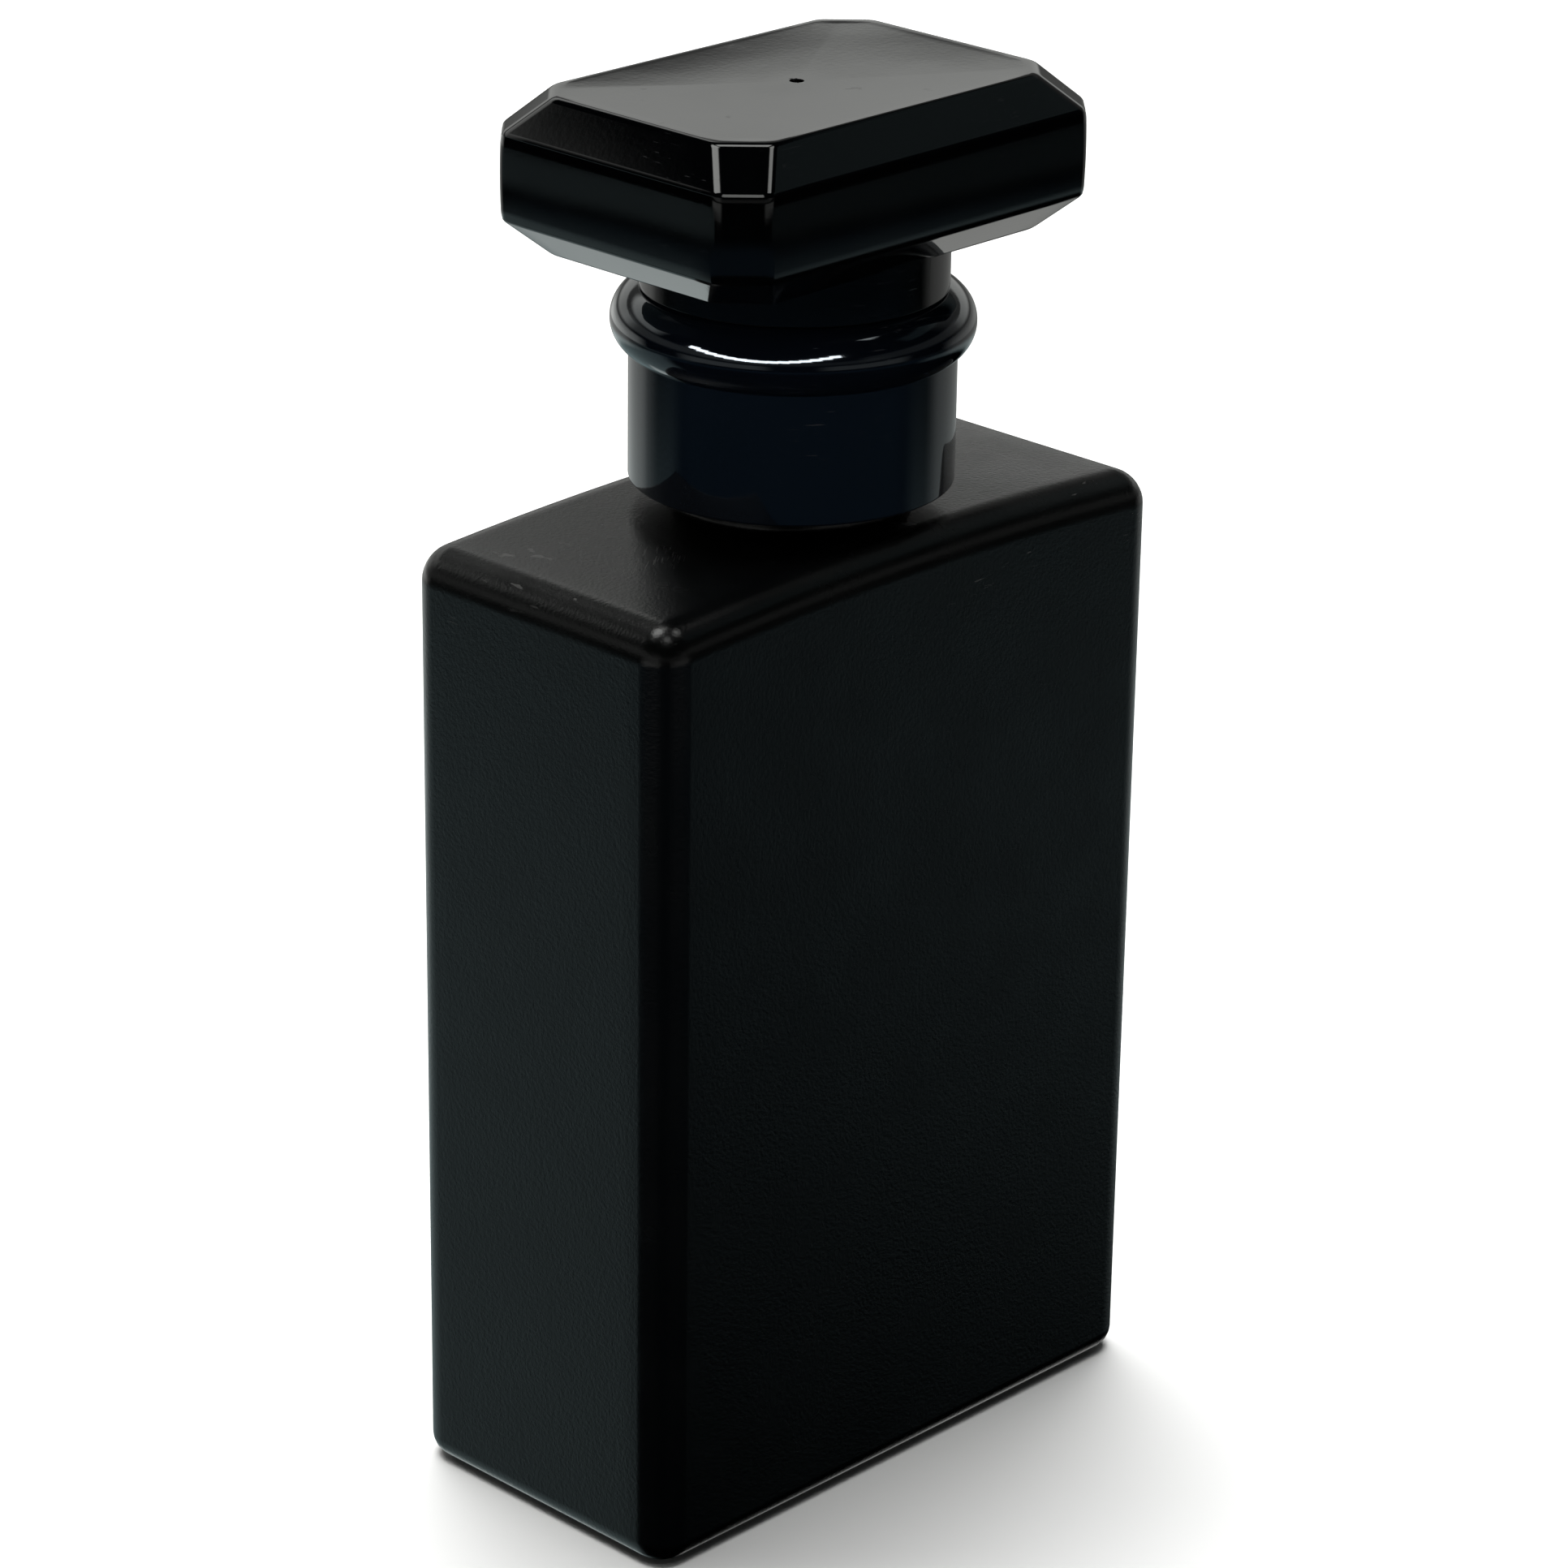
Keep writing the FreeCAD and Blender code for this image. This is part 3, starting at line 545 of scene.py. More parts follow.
def satin_coating():
    """Satin black coating on glass: fine grain, faint mottling, a few specks and scuffs."""
    material, tree = new_material("coated_glass")
    mottle = noise(tree, scale=160.0, detail=3.0, roughness=0.6)
    dust = specks(tree, scale=420.0, share=DUST_SHARE)
    marks = scuffs(tree, stretch=(1.0, 1.0, 9.0), scale=520.0, rarity=0.66)
    high = math_node(tree, "MULTIPLY", marks, above(tree, SCUFFS_FROM, SCUFFS_FULL))
    rubs = math_node(tree, "ADD", high, corner_wear(tree))
    base = colour_mix(tree, mottle, (0.0004, 0.0006, 0.0006), (0.0008, 0.0010, 0.0010))
    worn = colour_mix(tree, rubs, base, (0.036, 0.036, 0.035))
    colour = colour_mix(tree, dust, worn, (0.03, 0.03, 0.029))
    even = ramp(tree, mottle, low=0.3, high=0.7, out_low=0.23, out_high=0.28)
    finish = math_node(tree, "ADD", even, math_node(tree, "MULTIPLY", rubs, 0.12))
    waves = bump(tree, noise(tree, scale=70.0, detail=1.0), strength=0.10, distance=0.0002)
    grain = noise(tree, scale=4200.0, roughness=0.6)
    normal = bump(tree, grain, strength=0.30, distance=0.00005, below=waves)
    surface(tree, colour, finish, normal, IOR=REFRACTIVE_INDEX)
    return material


def gloss_plastic(name, dark, light, rough, ripple, tint=(1.0, 1.0, 1.0)):
    """Polished moulded plastic with slight flow ripple, haze, dust and rubbing marks."""
    material, tree = new_material(name)
    haze = noise(tree, scale=240.0, detail=3.0, roughness=0.55)
    dust = specks(tree, scale=520.0, share=DUST_SHARE)
    rubs = scuffs(tree, stretch=(1.0, 1.0, 14.0), scale=700.0, rarity=0.67)
    base = colour_mix(tree, haze, dark, light)
    worn = colour_mix(tree, rubs, base, (0.004, 0.004, 0.0045))
    colour = colour_mix(tree, dust, worn, (0.03, 0.03, 0.03))
    even = ramp(tree, haze, low=0.3, high=0.75, out_low=rough, out_high=rough * 1.7)
    finish = math_node(tree, "ADD", even, math_node(tree, "MULTIPLY", rubs, 0.15))
    ripples = noise(tree, scale=120.0, detail=1.0, roughness=0.4)
    flow = bump(tree, ripples, strength=ripple, distance=0.0003)
    grain = noise(tree, scale=2600.0)
    normal = bump(tree, grain, strength=0.03, distance=0.00004, below=flow)
    shader = surface(tree, colour, finish, normal, IOR=REFRACTIVE_INDEX)
    shader.inputs["Specular Tint"].default_value = (*tint, 1.0)
    return material


def moulded(name, dark, light, rough, grain, milk=0.0):
    """Plain moulded plastic with a fine grain; milk is how much light goes into it."""
    material, tree = new_material(name)
    tone = noise(tree, scale=300.0, detail=3.0)
    colour = colour_mix(tree, tone, dark, light)
    finish = ramp(tree, tone, low=0.3, high=0.7, out_low=rough, out_high=rough + 0.1)
    normal = bump(tree, noise(tree, grain), strength=0.12, distance=0.00005)
    shader = surface(tree, colour, finish, normal, IOR=REFRACTIVE_INDEX)
    shader.inputs["Subsurface Weight"].default_value = milk
    shader.inputs["Subsurface Radius"].default_value = (0.0012, 0.0011, 0.0010)
    return material


def drawn_steel(name, dark, light, rough, stretch):
    """Bright steel with drawing marks."""
    material, tree = new_material(name)
    along = add(tree, "ShaderNodeMapping")
    along.inputs["Scale"].default_value = stretch
    coords = add(tree, "ShaderNodeTexCoord")
    tree.links.new(coords.outputs["Object"], along.inputs["Vector"])
    marks = noise(tree, scale=900.0, detail=4.0, roughness=0.6, vector=along.outputs[0])
    colour = colour_mix(tree, marks, dark, light)
    finish = ramp(tree, marks, low=0.3, high=0.7, out_low=rough, out_high=rough + 0.12)
    normal = bump(tree, marks, strength=0.08, distance=0.00003)
    surface(tree, colour, finish, normal, Metallic=1.0)
    return material


def elastomer():
    """Grey rubber with a matt moulded skin."""
    material, tree = new_material("gasket_rubber")
    tone = noise(tree, scale=500.0, detail=4.0)
    colour = colour_mix(tree, tone, (0.040, 0.041, 0.043), (0.062, 0.063, 0.065))
    finish = ramp(tree, tone, low=0.3, high=0.7, out_low=0.62, out_high=0.75)
    normal = bump(tree, noise(tree, scale=3200.0, detail=3.0), strength=0.2, distance=0.00005)
    surface(tree, colour, finish, normal, IOR=REFRACTIVE_INDEX)
    return material


def make_materials():
    """One material for each slot of the record."""
    navy = (0.0003, 0.0005, 0.0009), (0.0005, 0.0008, 0.0014)
    black = (0.0003, 0.0004, 0.0005), (0.0006, 0.0007, 0.0009)
    cool = (0.84, 0.93, 1.0)
    black_liner = (0.010, 0.010, 0.010), (0.016, 0.016, 0.016)
    black_ferrule = (0.012, 0.012, 0.012), (0.018, 0.018, 0.018)
    milky = (0.60, 0.60, 0.57), (0.70, 0.70, 0.67)
    milky_stem = (0.58, 0.59, 0.57), (0.66, 0.67, 0.65)
    milky_seal = (0.70, 0.70, 0.68), (0.78, 0.78, 0.76)
    milky_tube = (0.66, 0.67, 0.66), (0.74, 0.75, 0.74)
    steel_wire = (0.44, 0.44, 0.43), (0.62, 0.62, 0.60)
    steel_ball = (0.66, 0.66, 0.66), (0.78, 0.78, 0.78)
    along_wire = (1, 1, 12)
    even_grain = (1, 1, 1)
    return {
        "coated_glass": satin_coating(),
        "cap_gloss": gloss_plastic("cap_gloss", *black, rough=0.045, ripple=0.05),
        "collar_gloss": gloss_plastic("collar_gloss", *navy, rough=0.04, ripple=0.03, tint=cool),
        "button_gloss": gloss_plastic("button_gloss", *black, rough=0.12, ripple=0.05),
        "insert_plastic": gloss_plastic("insert_plastic", *black, rough=0.22, ripple=0.05),
        "liner_plastic": moulded("liner_plastic", *black_liner, rough=0.38, grain=2400.0),
        "ferrule_plastic": moulded("ferrule_plastic", *black_ferrule, rough=0.42, grain=2400.0),
        "pump_plastic": moulded("pump_plastic", *milky, rough=0.34, grain=1800.0, milk=0.25),
        "stem_plastic": moulded("stem_plastic", *milky_stem, rough=0.28, grain=1800.0, milk=0.2),
        "piston_plastic": moulded("piston_plastic", *milky_seal, rough=0.36, grain=1800.0, milk=0.2),
        "tube_plastic": moulded("tube_plastic", *milky_tube, rough=0.22, grain=1500.0, milk=0.35),
        "gasket_rubber": elastomer(),
        "spring_steel": drawn_steel("spring_steel", *steel_wire, rough=0.22, stretch=along_wire),
        "ball_steel": drawn_steel("ball_steel", *steel_ball, rough=0.07, stretch=even_grain),
    }


# --- bottle -------------------------------------------------------------------------


def crown_height(across):
    """Height of the crowned shoulder at a place across the bottle."""
    share = across / (BODY_WIDTH / 2)
    return SHOULDER_END + CROWN * (1 - share * share)


def rounded_rectangle(half_width, half_depth, radius):
    """Plan outline of a rounded rectangle, each side in even steps."""
    out = []
    straight_steps = 14
    corner_steps = 10
    quarters = ((1, 1, 0), (-1, 1, 90), (-1, -1, 180), (1, -1, 270))
    for index, (side_x, side_y, start) in enumerate(quarters):
        centre = (side_x * (half_width - radius), side_y * (half_depth - radius))
        for step in range(corner_steps + 1):
            angle = math.radians(start + 90 * step / corner_steps)
            across = centre[0] + radius * math.cos(angle)
            along = centre[1] + radius * math.sin(angle)
            out.append((across, along))
        next_x, next_y, _ = quarters[(index + 1) % 4]
        end_angle = math.radians(start + 90)
        following = (
            next_x * (half_width - radius) + radius * math.cos(end_angle),
            next_y * (half_depth - radius) + radius * math.sin(end_angle),
        )
        last = out[-1]
        for step in range(1, straight_steps):
            out.append(mixed(last, following, step / straight_steps))
    return out


def body_plan(inset):
    """Plan outline of the bottle's outside at an inset from its widest."""
    radius = max(SIDE_EDGE - inset, 0.02 * MM)
    return rounded_rectangle(BODY_WIDTH / 2 - inset, BODY_DEPTH / 2 - inset, radius)


def cavity_plan(inset):
    """Plan outline of the bottle's inside at an inset from its widest."""
    half_width = BODY_WIDTH / 2 - WALL - inset
    half_depth = BODY_DEPTH / 2 - WALL - inset
    return rounded_rectangle(half_width, half_depth, INNER_EDGE - inset)


def flat_ring(plan, height):
    """A plan outline at one height."""
    return [(x, y, height) for x, y in plan]


def scaled_ring(plan, share, height):
    """A plan outline shrunk towards the axis at one height."""
    return [(x * share, y * share, height) for x, y in plan]


def shoulder_rings():
    """Rings over the shoulder's rounded edge and across to the neck's root."""
    rings = []
    steps = 10
    for step in range(steps + 1):
        angle = math.pi / 2 * step / steps
        plan = body_plan(SHOULDER_EDGE * (1 - math.cos(angle)))
        drop = SHOULDER_EDGE * (1 - math.sin(angle))
        rings.append([(x, y, crown_height(x) - drop) for x, y in plan])
    outer = body_plan(SHOULDER_EDGE)
    root = NECK_RADIUS + NECK_ROOT
    across_steps = 12
    for step in range(1, across_steps + 1):
        share = step / across_steps
        ring = []
        for x, y in outer:
            reach = math.hypot(x, y)
            goal = (x / reach * root, y / reach * root)
            px, py = mixed((x, y), goal, share)
            ring.append((px, py, crown_height(px)))
        rings.append(ring)
    return rings


def thread_rise(angle, height):
    """How far the thread ridge stands out of the neck at a place."""
    rise = 0.0
    for turn in (0, 1):
        along = angle / (2 * math.pi) + turn
        if along > THREAD_TURNS:
            continue
        centre = THREAD_START + THREAD_PITCH * along
        off = abs(height - centre)
        flank = (THREAD_BASE_HALF - off) / (THREAD_BASE_HALF - THREAD_CREST_HALF)
        fade = min(1.0, along / THREAD_FADE, (THREAD_TURNS - along) / THREAD_FADE)
        rise = max(rise, THREAD_HEIGHT * max(0.0, min(1.0, flank)) * max(0.0, fade))
    return rise


def neck_rings(plan, top):
    """Rings up the threaded neck, over its lip and down its bore."""
    rings = []
    directions = [math.atan2(y, x) for x, y in plan]
    for share in (0.35, 0.7, 1.0):
        radius = NECK_RADIUS + NECK_ROOT * (1 - share) ** 2
        lift = 0.5 * MM * share ** 2
        rings.append([
            (radius * math.cos(a), radius * math.sin(a), crown_height(radius * math.cos(a)) + lift)
            for a in directions
        ])
    low = SHOULDER_END + CROWN + 0.9 * MM
    high = top - LIP_ROUND
    for step in range(THREAD_STEPS + 1):
        height = low + (high - low) * step / THREAD_STEPS
        ring = []
        for a in directions:
            radius = NECK_RADIUS + thread_rise(a % (2 * math.pi), height)
            ring.append((radius * math.cos(a), radius * math.sin(a), height))
        rings.append(ring)
    for angle in (30, 60, 90):
        turn = math.radians(angle)
        radius = NECK_RADIUS - LIP_ROUND + LIP_ROUND * math.cos(turn)
        height = high + LIP_ROUND * math.sin(turn)
        rings.append([(radius * math.cos(a), radius * math.sin(a), height) for a in directions])
    for angle in (90, 60, 30, 0):
        turn = math.radians(angle)
        radius = BORE_RADIUS + LIP_ROUND - LIP_ROUND * math.cos(turn)
        height = high + LIP_ROUND * math.sin(turn)
        rings.append([(radius * math.cos(a), radius * math.sin(a), height) for a in directions])
    foot = CEILING_Z + 0.6 * MM
    rings.append([(BORE_RADIUS * math.cos(a), BORE_RADIUS * math.sin(a), foot) for a in directions])
    return rings


def cavity_rings(plan):
    """Rings from the bore's foot out along the inner ceiling, down the walls, across the floor."""
    rings = []
    ceiling = cavity_plan(INNER_END_EDGE)
    directions = [math.atan2(y, x) for x, y in plan]
    root = 1.02 * BORE_RADIUS
    bore = [(root * math.cos(a), root * math.sin(a)) for a in directions]
    ceiling_steps = 4
    for step in range(ceiling_steps + 1):
        ring = [mixed(first, second, step / ceiling_steps) for first, second in zip(bore, ceiling)]
        rings.append(flat_ring(ring, CEILING_Z))
    for angle in (22.5, 45, 67.5, 90):
        turn = math.radians(angle)
        inset = INNER_END_EDGE * (1 - math.sin(turn))
        height = CEILING_Z - INNER_END_EDGE * (1 - math.cos(turn))
        rings.append(flat_ring(cavity_plan(inset), height))
    for angle in (0, 22.5, 45, 67.5, 90):
        turn = math.radians(angle)
        inset = INNER_END_EDGE * (1 - math.cos(turn))
        height = FLOOR_Z + INNER_END_EDGE * (1 - math.sin(turn))
        rings.append(flat_ring(cavity_plan(inset), height))
    floor = cavity_plan(INNER_END_EDGE)
    for share in (0.7, 0.4, 0.0):
        rings.append(scaled_ring(floor, share, FLOOR_Z))
    return rings


def base_rings():
    """Rings from the middle of the shallow base recess out and round the heel."""
    rings = []
    half_width = BODY_WIDTH / 2 - PUNT_MARGIN
    half_depth = BODY_DEPTH / 2 - PUNT_MARGIN
    punt = rounded_rectangle(half_width, half_depth, PUNT_CORNER)
    for share in (0.0, 0.5, 0.96):
        rings.append(scaled_ring(punt, share, PUNT_DEPTH))
    rings.append(scaled_ring(punt, 0.985, 0.75 * PUNT_DEPTH))
    rings.append(scaled_ring(punt, 1.0, 0.2 * PUNT_DEPTH))
    rings.append(scaled_ring(punt, 1.015, 0.0))
    for angle in (0, 15, 30, 45, 60, 75, 90):
        turn = math.radians(angle)
        inset = HEEL_EDGE * (1 - math.sin(turn))
        rings.append(flat_ring(body_plan(inset), HEEL_EDGE * (1 - math.cos(turn))))
    for share in (0.25, 0.5, 0.75):
        height = HEEL_EDGE + (SHOULDER_END - SHOULDER_EDGE - HEEL_EDGE) * share
        rings.append(flat_ring(body_plan(0.0), height))
    return rings


def build_bottle(materials):
    """The hollow bottle in one closed skin, from its base over the neck into its cavity."""
    top = box_high("glass_bottle")
    plan = body_plan(SHOULDER_EDGE)
    rings = base_rings() + shoulder_rings() + neck_rings(plan, top) + cavity_rings(plan)
    piece = mesh_from_rings("bottle_coated", rings)
    place(piece, "glass_bottle", "bottle", materials["coated_glass"])


# --- collar -------------------------------------------------------------------------


def build_collar(materials):
    """The collar with its round bead, seat and spigot."""
    low = box_low("collar")
    high = box_high("collar")
    seat = BEAD_Z + BEAD_RING
    crease = -math.degrees(math.acos((SLEEVE_RADIUS - BEAD_CENTRE) / BEAD_RING))
    bead = arc(BEAD_CENTRE, BEAD_Z, BEAD_RING, crease, 90.0, BEAD_STEPS)
    outline = soften([
        (SLEEVE_BORE, SEAT_PLATE_Z),
        (SLEEVE_BORE, low),
        (SLEEVE_RADIUS, low),
        (SLEEVE_RADIUS, low + 4.0 * MM),
    ], SLEEVE_SOFTNESS, closed=False)
    outline += bead
    outline += soften([
        (BEAD_CENTRE - 0.2 * MM, seat),
        (SPIGOT_OUTER, seat),
        (SPIGOT_OUTER, high),
        (SPIGOT_INNER, high),
        (SPIGOT_INNER, SEAT_PLATE_Z),
    ], SPIGOT_SOFTNESS, closed=False)
    rings = [circle(radius, height) for radius, height in outline]
    piece = mesh_from_rings("collar_gloss_shell", rings, closed=True)
    place(piece, "collar", "collar_unit", materials["collar_gloss"])


# --- cap ----------------------------------------------------------------------------


def octagon_ring(half_width, half_depth, cut, height):
    """A softened octagon: a rectangle with cut corners, long sides divided."""
    corners = []
    for side_x, side_y in ((1, 1), (-1, 1), (-1, -1), (1, -1)):
        ends = [
            (side_x * half_width, side_y * (half_depth - cut)),
            (side_x * (half_width - cut), side_y * half_depth),
        ]
        if side_x * side_y < 0:
            ends.reverse()
        corners += ends
    plan = soften(corners, CAP_CORNER_SOFTNESS, closed=True, steps=OCTAGON_SOFT_STEPS)
    divided = []
    for index, point in enumerate(plan):
        following = plan[(index + 1) % len(plan)]
        divided.append(point)
        if index % (OCTAGON_SOFT_STEPS + 1) == OCTAGON_SOFT_STEPS:
            for part in range(1, OCTAGON_SIDE_STEPS):
                divided.append(mixed(point, following, part / OCTAGON_SIDE_STEPS))
    return [(x, y, height) for x, y in divided]


def top_ring(outer, share, height):
    """One ring of the cap's top face: octagonal outside, round at the centre."""
    ring = []
    for x, y, _ in outer:
        reach = math.hypot(x, y)
        round_reach = min(abs(CAP_HALF_DEPTH - CAP_INSET), reach)
        blend = min(1.0, share * 1.6)
        radius = share * (reach * blend + round_reach * (1 - blend))
        px = x / reach * radius
        py = y / reach * radius
        ring.append((px, py, height - sink(px, py)))
    return ring


def sink(x, y):
    """Depth of the shallow sink in the cap's top face, with the gate pit at its centre."""
    across = max(0.0, 1 - (x / (CAP_HALF_WIDTH - CAP_INSET)) ** 2)
    along = max(0.0, 1 - (y / (CAP_HALF_DEPTH - CAP_INSET)) ** 2)
    radius = math.hypot(x, y)
    pit = GATE_DEPTH * min(1.0, max(0.0, (GATE_RADIUS - radius) / GATE_WALL))
    return SINK_DEPTH * math.sqrt(across * along) * min(across, along) ** 0.5 + pit


CAP_LOW, CAP_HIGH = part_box("cap_shell")
CAP_HALF_WIDTH = (CAP_HIGH[0] - CAP_LOW[0]) / 2
CAP_HALF_DEPTH = (CAP_HIGH[1] - CAP_LOW[1]) / 2


def girdle_levels():
    """Levels of the cap's vertical band, fullest at its middle by a hair."""
    middle = (GIRDLE_LOW + GIRDLE_HIGH) / 2
    half = (GIRDLE_HIGH - GIRDLE_LOW) / 2
    levels = []
    for step in range(GIRDLE_STEPS + 1):
        height = half * (2 * step / GIRDLE_STEPS - 1)
        slack = GIRDLE_BOW * (height / half) ** 2
        end = half - abs(height)
        slack += GIRDLE_END * max(0.0, 1 - end / CAP_SOFTNESS) ** 2
        levels.append((CAP_HALF_WIDTH - slack, CAP_HALF_DEPTH - slack, CAP_CUT, middle + height))
    return levels


def build_cap(materials):
    """The thick cap: bevelled block with softened edges, round skirt and bore."""
    small = (CAP_HALF_WIDTH - CAP_INSET, CAP_HALF_DEPTH - CAP_INSET, CAP_FACET_CUT)
    wide = (CAP_HALF_WIDTH, CAP_HALF_DEPTH, CAP_CUT)
    centre = tuple(TOP_MIDDLE * size for size in small)
    levels = [
        (*centre, CAP_UNDERSIDE),
        (*small, CAP_UNDERSIDE),
        (*wide, GIRDLE_LOW),
        (*wide, GIRDLE_HIGH),
        (*small, CAP_HIGH[2]),
        (*centre, CAP_HIGH[2]),
    ]
    soft = soften(levels, CAP_SOFTNESS, closed=False)
    lows = [level for level in soft if level[-1] < GIRDLE_LOW]
    highs = [level for level in soft if level[-1] > GIRDLE_HIGH]
    rings = [octagon_ring(*level) for level in lows + girdle_levels() + highs[:-1]]
    rim = rings[-1]
    reach = CAP_HALF_DEPTH - CAP_INSET
    shares = TOP_SHARES + tuple(radius / reach for radius in GATE_RINGS)
    rings += [top_ring(rim, share, CAP_HIGH[2]) for share in shares]
    piece = mesh_from_rings("cap_gloss_shell", rings)
    skirt_low = CAP_LOW[2]
    skirt = turned("skirt", [
        (0.0, skirt_low),
        (SKIRT_RADIUS, skirt_low),
        (SKIRT_RADIUS, SKIRT_TOP),
        (0.0, SKIRT_TOP),
    ], closed=False)
    combine(piece, skirt, "UNION")
    bore = turned("bore", [
        (0.0, skirt_low - MM),
        (CAP_BORE, skirt_low - MM),
        (CAP_BORE, CAP_BORE_TOP),
        (0.0, CAP_BORE_TOP),
    ], closed=False)
    combine(piece, bore, "DIFFERENCE")
    place(piece, "cap_shell", "cap_outer", materials["cap_gloss"])


# --- button and spring --------------------------------------------------------------


def build_button(materials):
    """The push button with its finger dish, stem socket and nozzle bore."""
    low = box_low("actuator_button")
    high = box_high("actuator_button")
    outline = [
        (0.0, high - BUTTON_DISH),
        (DISH_WAIST, high - DISH_WAIST_SHARE * BUTTON_DISH),
        (BUTTON_RADIUS - BUTTON_RIM, high),
        (BUTTON_RADIUS, high),
        (BUTTON_RADIUS, low),
        (BUTTON_SKIRT, low),
        (BUTTON_SKIRT, BUTTON_CEILING),
        (BUTTON_BOSS, BUTTON_CEILING),
        (BUTTON_BOSS, BUTTON_BOSS_Z),
        (STEM_SOCKET, BUTTON_BOSS_Z),
        (STEM_SOCKET, STEM_SOCKET_TOP),
        (0.0, STEM_SOCKET_TOP),
    ]
    piece = turned("button_gloss_block", outline, reach=BUTTON_SOFTNESS, closed=False)
    nozzle_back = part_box("nozzle_insert")[1][1]
    bore = turned("nozzle_bore", [
        (0.0, 0.0),
        (NOZZLE_RADIUS + NOZZLE_GAP, 0.0),
        (NOZZLE_RADIUS + NOZZLE_GAP, NOZZLE_CUT),
        (0.0, NOZZLE_CUT),
    ], reach=NOZZLE_GAP, closed=False, steps=NOZZLE_STEPS)
    bore.data.transform(Matrix.Rotation(math.pi / 2, 4, "X"))
    bore.data.transform(Matrix.Translation((0.0, nozzle_back, NOZZLE_Z)))
    combine(piece, bore, "DIFFERENCE")
    place(piece, "actuator_button", "actuator", materials["button_gloss"])


def spring_height(turn):
    """Height of the wire's middle after some turns; the turns at both ends lie closed."""
    free_turns = SPRING_TURNS - 2 * CLOSED_TURNS
    rise = SPRING_TOP - SPRING_FOOT - 2 * SPRING_WIRE - 2 * CLOSED_TURNS * CLOSED_PITCH
    climb = min(max((turn - CLOSED_TURNS) / free_turns, 0.0), 1.0)
    closed = min(turn, CLOSED_TURNS) + max(turn - (SPRING_TURNS - CLOSED_TURNS), 0.0)
    return SPRING_FOOT + SPRING_WIRE + closed * CLOSED_PITCH + climb * rise


def build_spring(materials):
    """The return spring: a round wire helix whose end turns lie closed."""
    steps = int(SPRING_TURNS * SPRING_STEPS_PER_TURN)
    rings = []
    for step in range(steps + 1):
        turn = SPRING_TURNS * step / steps
        angle = 2 * math.pi * turn
        outward = Vector((math.cos(angle), math.sin(angle), 0.0))
        centre = outward * SPRING_COIL + Vector((0.0, 0.0, spring_height(turn)))
        ring = []
        for part in range(WIRE_STEPS):
            roll = 2 * math.pi * part / WIRE_STEPS
            lift = Vector((0.0, 0.0, SPRING_WIRE * math.sin(roll)))
            ring.append(tuple(centre + outward * SPRING_WIRE * math.cos(roll) + lift))
        rings.append(ring)
    piece = mesh_from_rings("return_spring_wire", rings)
    place(piece, "main_spring", "pump_insert", materials["spring_steel"])
    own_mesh(piece)


def dress_cad_nodes(materials):
    """Give every CAD node that stays its procedural finish."""
    slots = {part["node"]: part["material_slot"] for part in frame["record"]["subparts"]}
    for node, item in frame["nodes"].items():
        for slot in item.material_slots:
            slot.material = materials[slots[node]]


# --- studio -------------------------------------------------------------------------


def aim_camera():
    """The camera: a long lens that looks a little down at the front corner."""
    back = Vector((
        math.sin(CAMERA_AZIMUTH) * math.cos(CAMERA_ELEVATION),
        -math.cos(CAMERA_AZIMUTH) * math.cos(CAMERA_ELEVATION),
        math.sin(CAMERA_ELEVATION),
    ))
    level = Vector((math.cos(CAMERA_AZIMUTH), math.sin(CAMERA_AZIMUTH), 0.0))
    above = back.cross(level)
    right = math.cos(CAMERA_ROLL) * level + math.sin(CAMERA_ROLL) * above
    up = back.cross(right)
    data = bpy.data.cameras.new("camera")
    data.lens = LENS_MM
    data.sensor_width = SENSOR_MM
    data.clip_start = 0.01
    camera = bpy.data.objects.new("camera", data)
    bpy.context.scene.collection.objects.link(camera)
    turn = Matrix((right, up, back)).transposed().to_4x4()
    spot = Vector((0.0, 0.0, AIM_Z)) + back * CAMERA_DISTANCE + right * AIM_RIGHT
    camera.matrix_world = Matrix.Translation(spot) @ turn
    bpy.context.scene.camera = camera


def build_floor():
    """A large plain pale floor that the gloss doesn't mirror."""
    data = bpy.data.meshes.new("floor")
    half = 3.0
    corners = [(-half, -half, 0), (half, -half, 0), (half, half, 0), (-half, half, 0)]
    data.from_pydata(corners, [], [(0, 1, 2, 3)])
    floor = bpy.data.objects.new("floor", data)
    bpy.context.scene.collection.objects.link(floor)
    material, tree = new_material("floor_paper")
    tone = noise(tree, scale=30.0, detail=3.0)
    colour = colour_mix(tree, tone, (0.86, 0.86, 0.855), (0.88, 0.88, 0.875))
    surface(tree, colour, roughness=0.8)
    data.materials.append(material)
    floor.visible_glossy = False


def world_direction(tree):
    """The direction looked in, and its dot product with level directions."""
    coords = add(tree, "ShaderNodeTexCoord")
    unit = add(tree, "ShaderNodeVectorMath", operation="NORMALIZE")
    tree.links.new(coords.outputs["Generated"], unit.inputs[0])
    flat = add(tree, "ShaderNodeVectorMath", operation="MULTIPLY")
    tree.links.new(unit.outputs[0], flat.inputs[0])
    flat.inputs[1].default_value = (1.0, 1.0, 0.0)
    level = add(tree, "ShaderNodeVectorMath", operation="NORMALIZE")
    tree.links.new(flat.outputs[0], level.inputs[0])
    split = add(tree, "ShaderNodeSeparateXYZ")
    tree.links.new(unit.outputs[0], split.inputs[0])
    return level.outputs[0], split.outputs["Z"]


def facing(tree, level, degrees):
    """Cosine of the angle between the level direction and a compass direction."""
    node = add(tree, "ShaderNodeVectorMath", operation="DOT_PRODUCT")
    tree.links.new(level, node.inputs[0])
    angle = math.radians(degrees)
    node.inputs[1].default_value = (math.cos(angle), math.sin(angle), 0.0)
    return node.outputs["Value"]


def sine(degrees):
    """Sine of an angle in degrees."""
    return math.sin(math.radians(degrees))


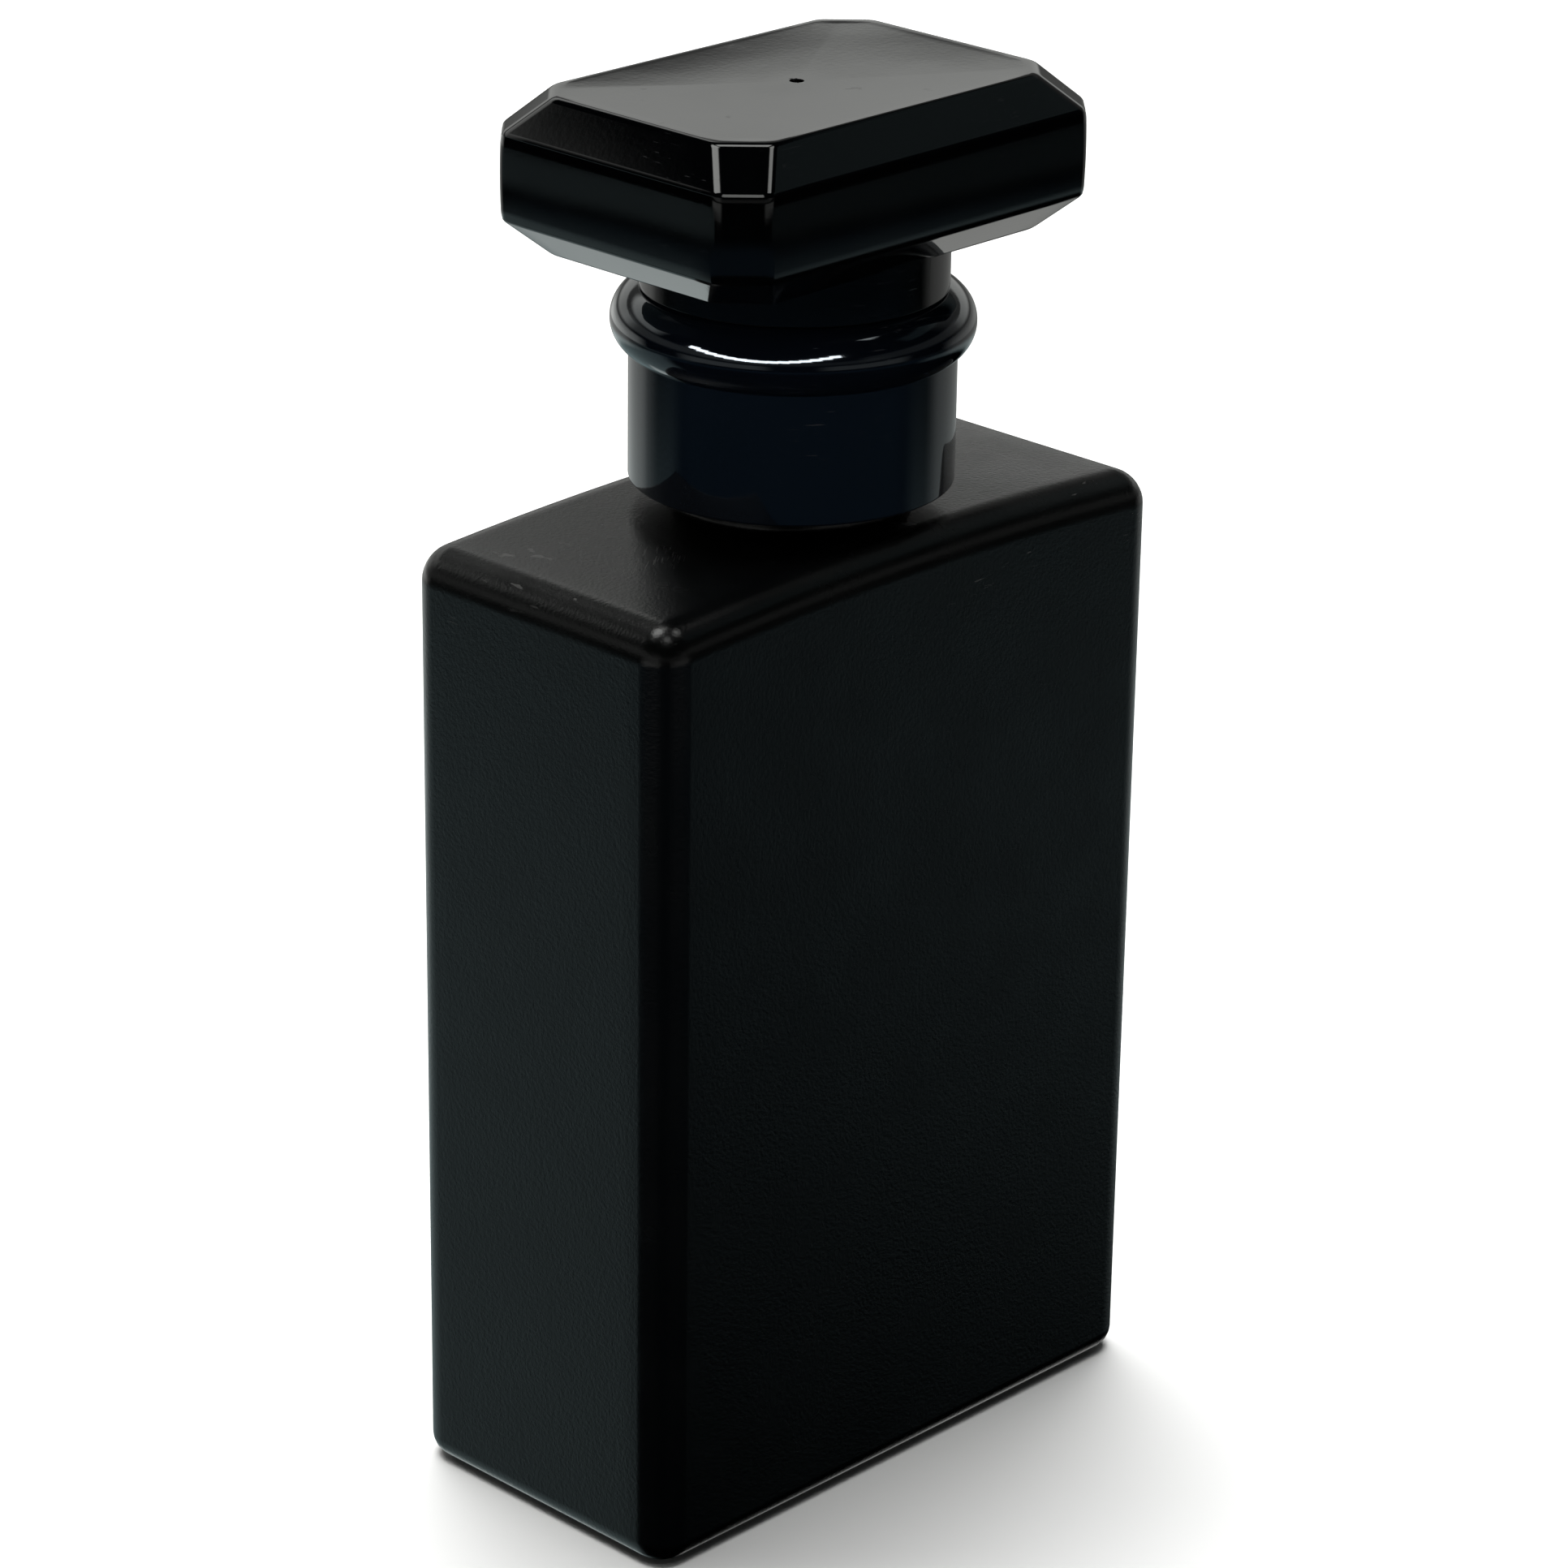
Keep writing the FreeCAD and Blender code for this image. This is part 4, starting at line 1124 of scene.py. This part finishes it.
def card(tree, level, up, centre, half, soft, low, high, strength):
    """The glow of one card in the direction looked in."""
    across = facing(tree, level, centre)
    inner = math.cos(math.radians(half))
    outer = math.cos(math.radians(half + soft))
    wide = ramp(tree, across, outer, inner)
    rise = ramp(tree, up, sine(low[0]), sine(low[1]))
    fall = ramp(tree, up, sine(high[0]), sine(high[1]))
    shape = math_node(tree, "MULTIPLY", math_node(tree, "MULTIPLY", wide, rise), fall)
    return math_node(tree, "MULTIPLY", shape, strength)


def total(tree, parts):
    """Sum of several values."""
    result = parts[0]
    for part in parts[1:]:
        result = math_node(tree, "ADD", result, part)
    return result


def glow(tree, strength, colour):
    """A background shader of one colour whose strength varies with direction."""
    shader = add(tree, "ShaderNodeBackground")
    shader.inputs["Color"].default_value = (*colour, 1.0)
    feed(tree, shader.inputs["Strength"], strength)
    return shader.outputs[0]


def join_shaders(tree, first, second):
    """The sum of two shaders."""
    both = add(tree, "ShaderNodeAddShader")
    tree.links.new(first, both.inputs[0])
    tree.links.new(second, both.inputs[1])
    return both.outputs[0]


def build_world():
    """The room: soft cards for the gloss to mirror, and plain white for the camera."""
    world = bpy.data.worlds.new("studio")
    world.use_nodes = True
    bpy.context.scene.world = world
    tree = world.node_tree
    tree.nodes.clear()
    level, up = world_direction(tree)
    joined = None
    for colour, cards in ROOM:
        strength = total(tree, [card(tree, level, up, *item) for item in cards])
        shader = glow(tree, strength, colour)
        joined = shader if joined is None else join_shaders(tree, joined, shader)
    choose = add(tree, "ShaderNodeMixShader")
    tree.links.new(add(tree, "ShaderNodeLightPath").outputs["Is Camera Ray"], choose.inputs[0])
    tree.links.new(joined, choose.inputs[1])
    tree.links.new(glow(tree, 1.0, (1.0, 1.0, 1.0)), choose.inputs[2])
    tree.links.new(choose.outputs[0], add(tree, "ShaderNodeOutputWorld").inputs["Surface"])


def add_overhead_light():
    """Even soft light from above that doesn't show in the gloss."""
    data = bpy.data.lights.new("overhead_light", "SUN")
    data.angle = OVERHEAD_SPREAD
    data.energy = OVERHEAD_STRENGTH
    lamp = bpy.data.objects.new("overhead_light", data)
    bpy.context.scene.collection.objects.link(lamp)
    lamp.rotation_euler = (-Vector(OVERHEAD_SPOT)).to_track_quat("-Z", "Y").to_euler()
    lamp.visible_glossy = False
    lamp.visible_camera = False


def show_once(data):
    """Let a lamp show in a glossy surface, not in the mirror image of that surface."""
    data.use_nodes = True
    tree = data.node_tree
    emission = next(node for node in tree.nodes if node.type == "EMISSION")
    depth = add(tree, "ShaderNodeLightPath").outputs["Ray Depth"]
    tree.links.new(math_node(tree, "LESS_THAN", depth, SEEN_ONCE), emission.inputs["Strength"])


def add_strip_panels(receiver):
    """A bowed row of small panels in front that light only the collar."""
    group = bpy.data.collections.new("strip_receivers")
    group.objects.link(receiver)
    for step in range(STRIP_PANELS):
        share = step / (STRIP_PANELS - 1)
        compass = math.radians(STRIP_START + STRIP_SWEEP * share)
        bow = 1 - math.cos(compass - math.radians(STRIP_LOWEST))
        height = math.radians(STRIP_ELEVATION + STRIP_BOW * bow)
        flat = math.cos(height)
        away = Vector((math.cos(compass) * flat, math.sin(compass) * flat, math.sin(height)))
        spot = Vector((0.0, 0.0, BEAD_Z)) + away * STRIP_DISTANCE
        data = bpy.data.lights.new("strip_panel", "AREA")
        data.shape = "RECTANGLE"
        data.size = STRIP_WIDTH
        data.size_y = STRIP_HEIGHT
        data.energy = STRIP_ENERGY
        show_once(data)
        panel = bpy.data.objects.new("strip_panel", data)
        bpy.context.scene.collection.objects.link(panel)
        panel.location = spot
        panel.rotation_euler = away.to_track_quat("Z", "Y").to_euler()
        panel.visible_camera = False
        panel.light_linking.receiver_collection = group


def build_studio():
    """Camera, floor, room and lamps."""
    aim_camera()
    add_strip_panels(bpy.data.objects["collar_gloss_shell"])
    build_floor()
    build_world()
    add_overhead_light()
    bpy.context.scene.view_settings.view_transform = "Standard"


def build_pieces():
    """Every visible piece and its finish."""
    materials = make_materials()
    dress_cad_nodes(materials)
    build_bottle(materials)
    build_collar(materials)
    build_cap(materials)
    build_button(materials)
    build_spring(materials)


build_pieces()
build_studio()
